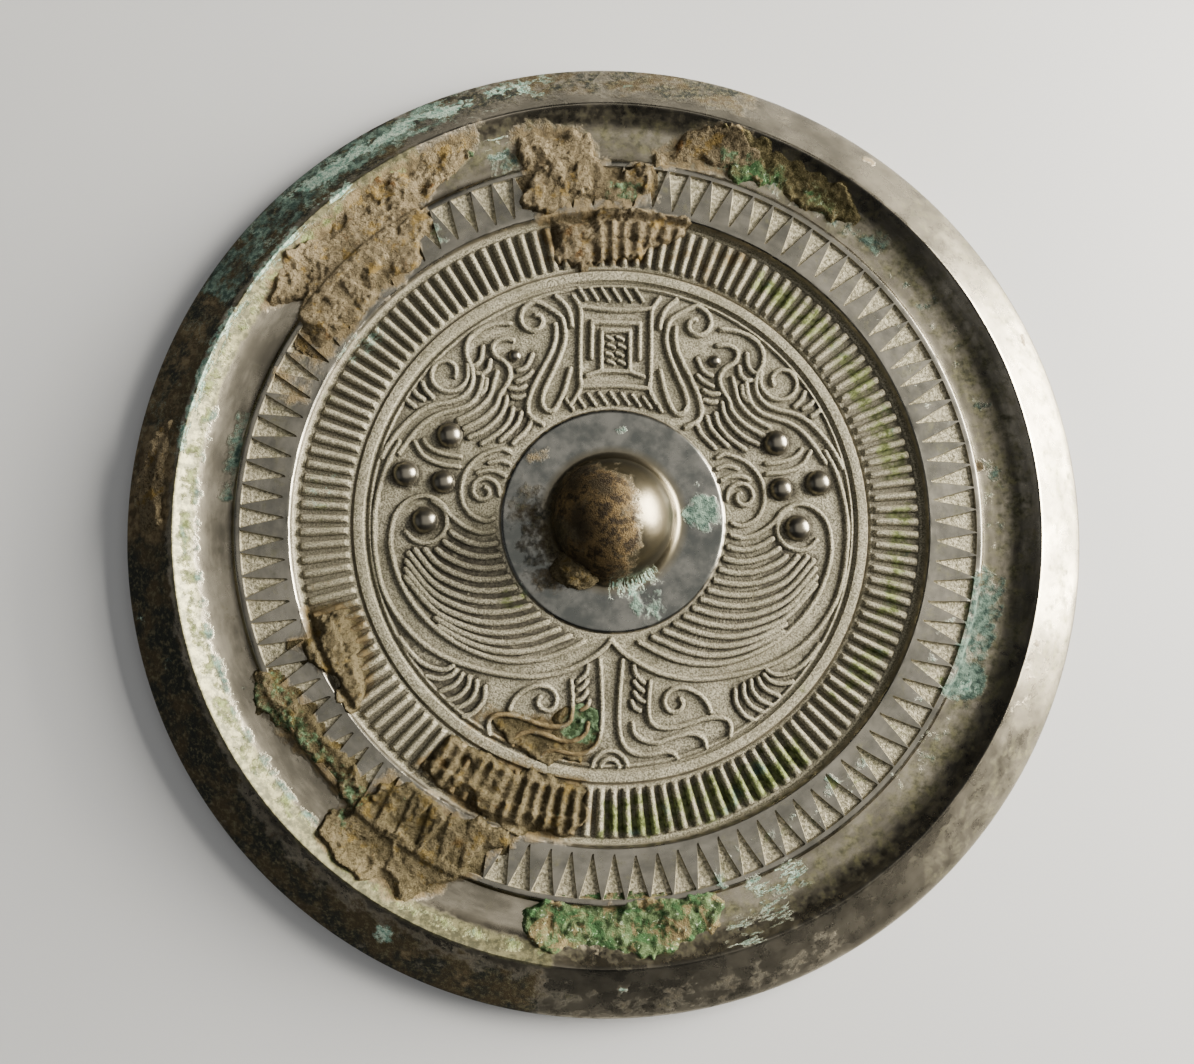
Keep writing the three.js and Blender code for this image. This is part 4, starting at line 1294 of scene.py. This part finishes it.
# ---------- stage, light and camera


def stage():
    """Plain pale floor."""
    mesh = bpy.data.meshes.new("floor")
    half = 1.5
    mesh.from_pydata([(-half, -half, 0), (half, -half, 0), (half, half, 0), (-half, half, 0)],
                     [], [(0, 1, 2, 3)])
    floor = bpy.data.objects.new("floor", mesh)
    bpy.context.collection.objects.link(floor)
    mesh.materials.append(floor_material())


def area_light(name, azimuth, elevation, distance, width, height, power, colour):
    """A soft light aimed at the mirror. Azimuth 0 is the picture's right."""
    data = bpy.data.lights.new(name, "AREA")
    data.shape = "RECTANGLE"
    data.size = width
    data.size_y = height
    data.energy = power
    data.color = colour
    light = bpy.data.objects.new(name, data)
    bpy.context.collection.objects.link(light)
    a, e = math.radians(azimuth), math.radians(elevation)
    light.location = Vector((math.cos(a) * math.cos(e), math.sin(a) * math.cos(e),
                             math.sin(e))) * distance
    light.rotation_euler = (-light.location).to_track_quat("-Z", "Y").to_euler()


def lights():
    world = bpy.data.worlds.new("studio")
    bpy.context.scene.world = world
    world.use_nodes = True
    background = world.node_tree.nodes["Background"]
    background.inputs["Color"].default_value = (0.80, 0.88, 1.0, 1.0)
    background.inputs["Strength"].default_value = 0.04
    area_light("window", 13, 11, 0.55, 0.46, 0.20, 10.5, (1.0, 0.95, 0.85))
    area_light("window_top", 16, 30, 0.55, 0.36, 0.20, 6.2, (1.0, 0.96, 0.88))
    area_light("ceiling", 0, 80, 1.0, 1.3, 1.3, 4.3, (1.0, 0.98, 0.94))
    area_light("fill", 190, 30, 0.6, 0.5, 0.3, 0.16, (0.95, 0.97, 1.0))


CAMERA_PLACE = Vector((-7.3, -15.2, 131.7)) * MM
CAMERA_AIM = Vector((-2.0, -1.5, 4.2)) * MM
FOCAL_PIXELS = 1033
IMAGE_WIDTH = 1194
SENSOR_WIDTH = 36


def camera():
    data = bpy.data.cameras.new("camera")
    data.sensor_width = SENSOR_WIDTH
    data.lens = SENSOR_WIDTH * FOCAL_PIXELS / IMAGE_WIDTH
    data.clip_start = 0.005
    data.clip_end = 20
    obj = bpy.data.objects.new("camera", data)
    bpy.context.collection.objects.link(obj)
    ahead = (CAMERA_AIM - CAMERA_PLACE).normalized()
    right = ahead.cross(Vector((0, 1, 0))).normalized()
    above = right.cross(ahead)
    obj.matrix_world = Matrix.Translation(CAMERA_PLACE) @ Matrix(
        (right, above, -ahead)).transposed().to_4x4()
    bpy.context.scene.camera = obj


# ---------- the whole


def main():
    bronze = casting()
    mark_bronze(bronze)
    bronze.data.materials.clear()
    bronze.data.materials.append(bronze_material())
    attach(bronze, "root")
    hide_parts("mirror")
    finishes = {"soil": soil_material(), "verdigris": verdigris_material()}
    pieces = []
    for number, (name, slot, thickness, lump, outline) in enumerate(CRUSTS):
        piece = crust(name, thickness, lump, outline, CRUST_SEED + CRUST_SEED_STEP * number)
        pieces.append((piece, slot))
    pieces.append((clump("soil_knob", KNOB_SOIL_CENTRE, KNOB_SOIL_SIZE, 401), "soil"))
    for piece, slot in pieces:
        piece.data.materials.append(finishes[slot])
        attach(piece, "root")
    stage()
    lights()
    bpy.context.scene.view_settings.look = "AgX - Medium High Contrast"
    camera()


main()
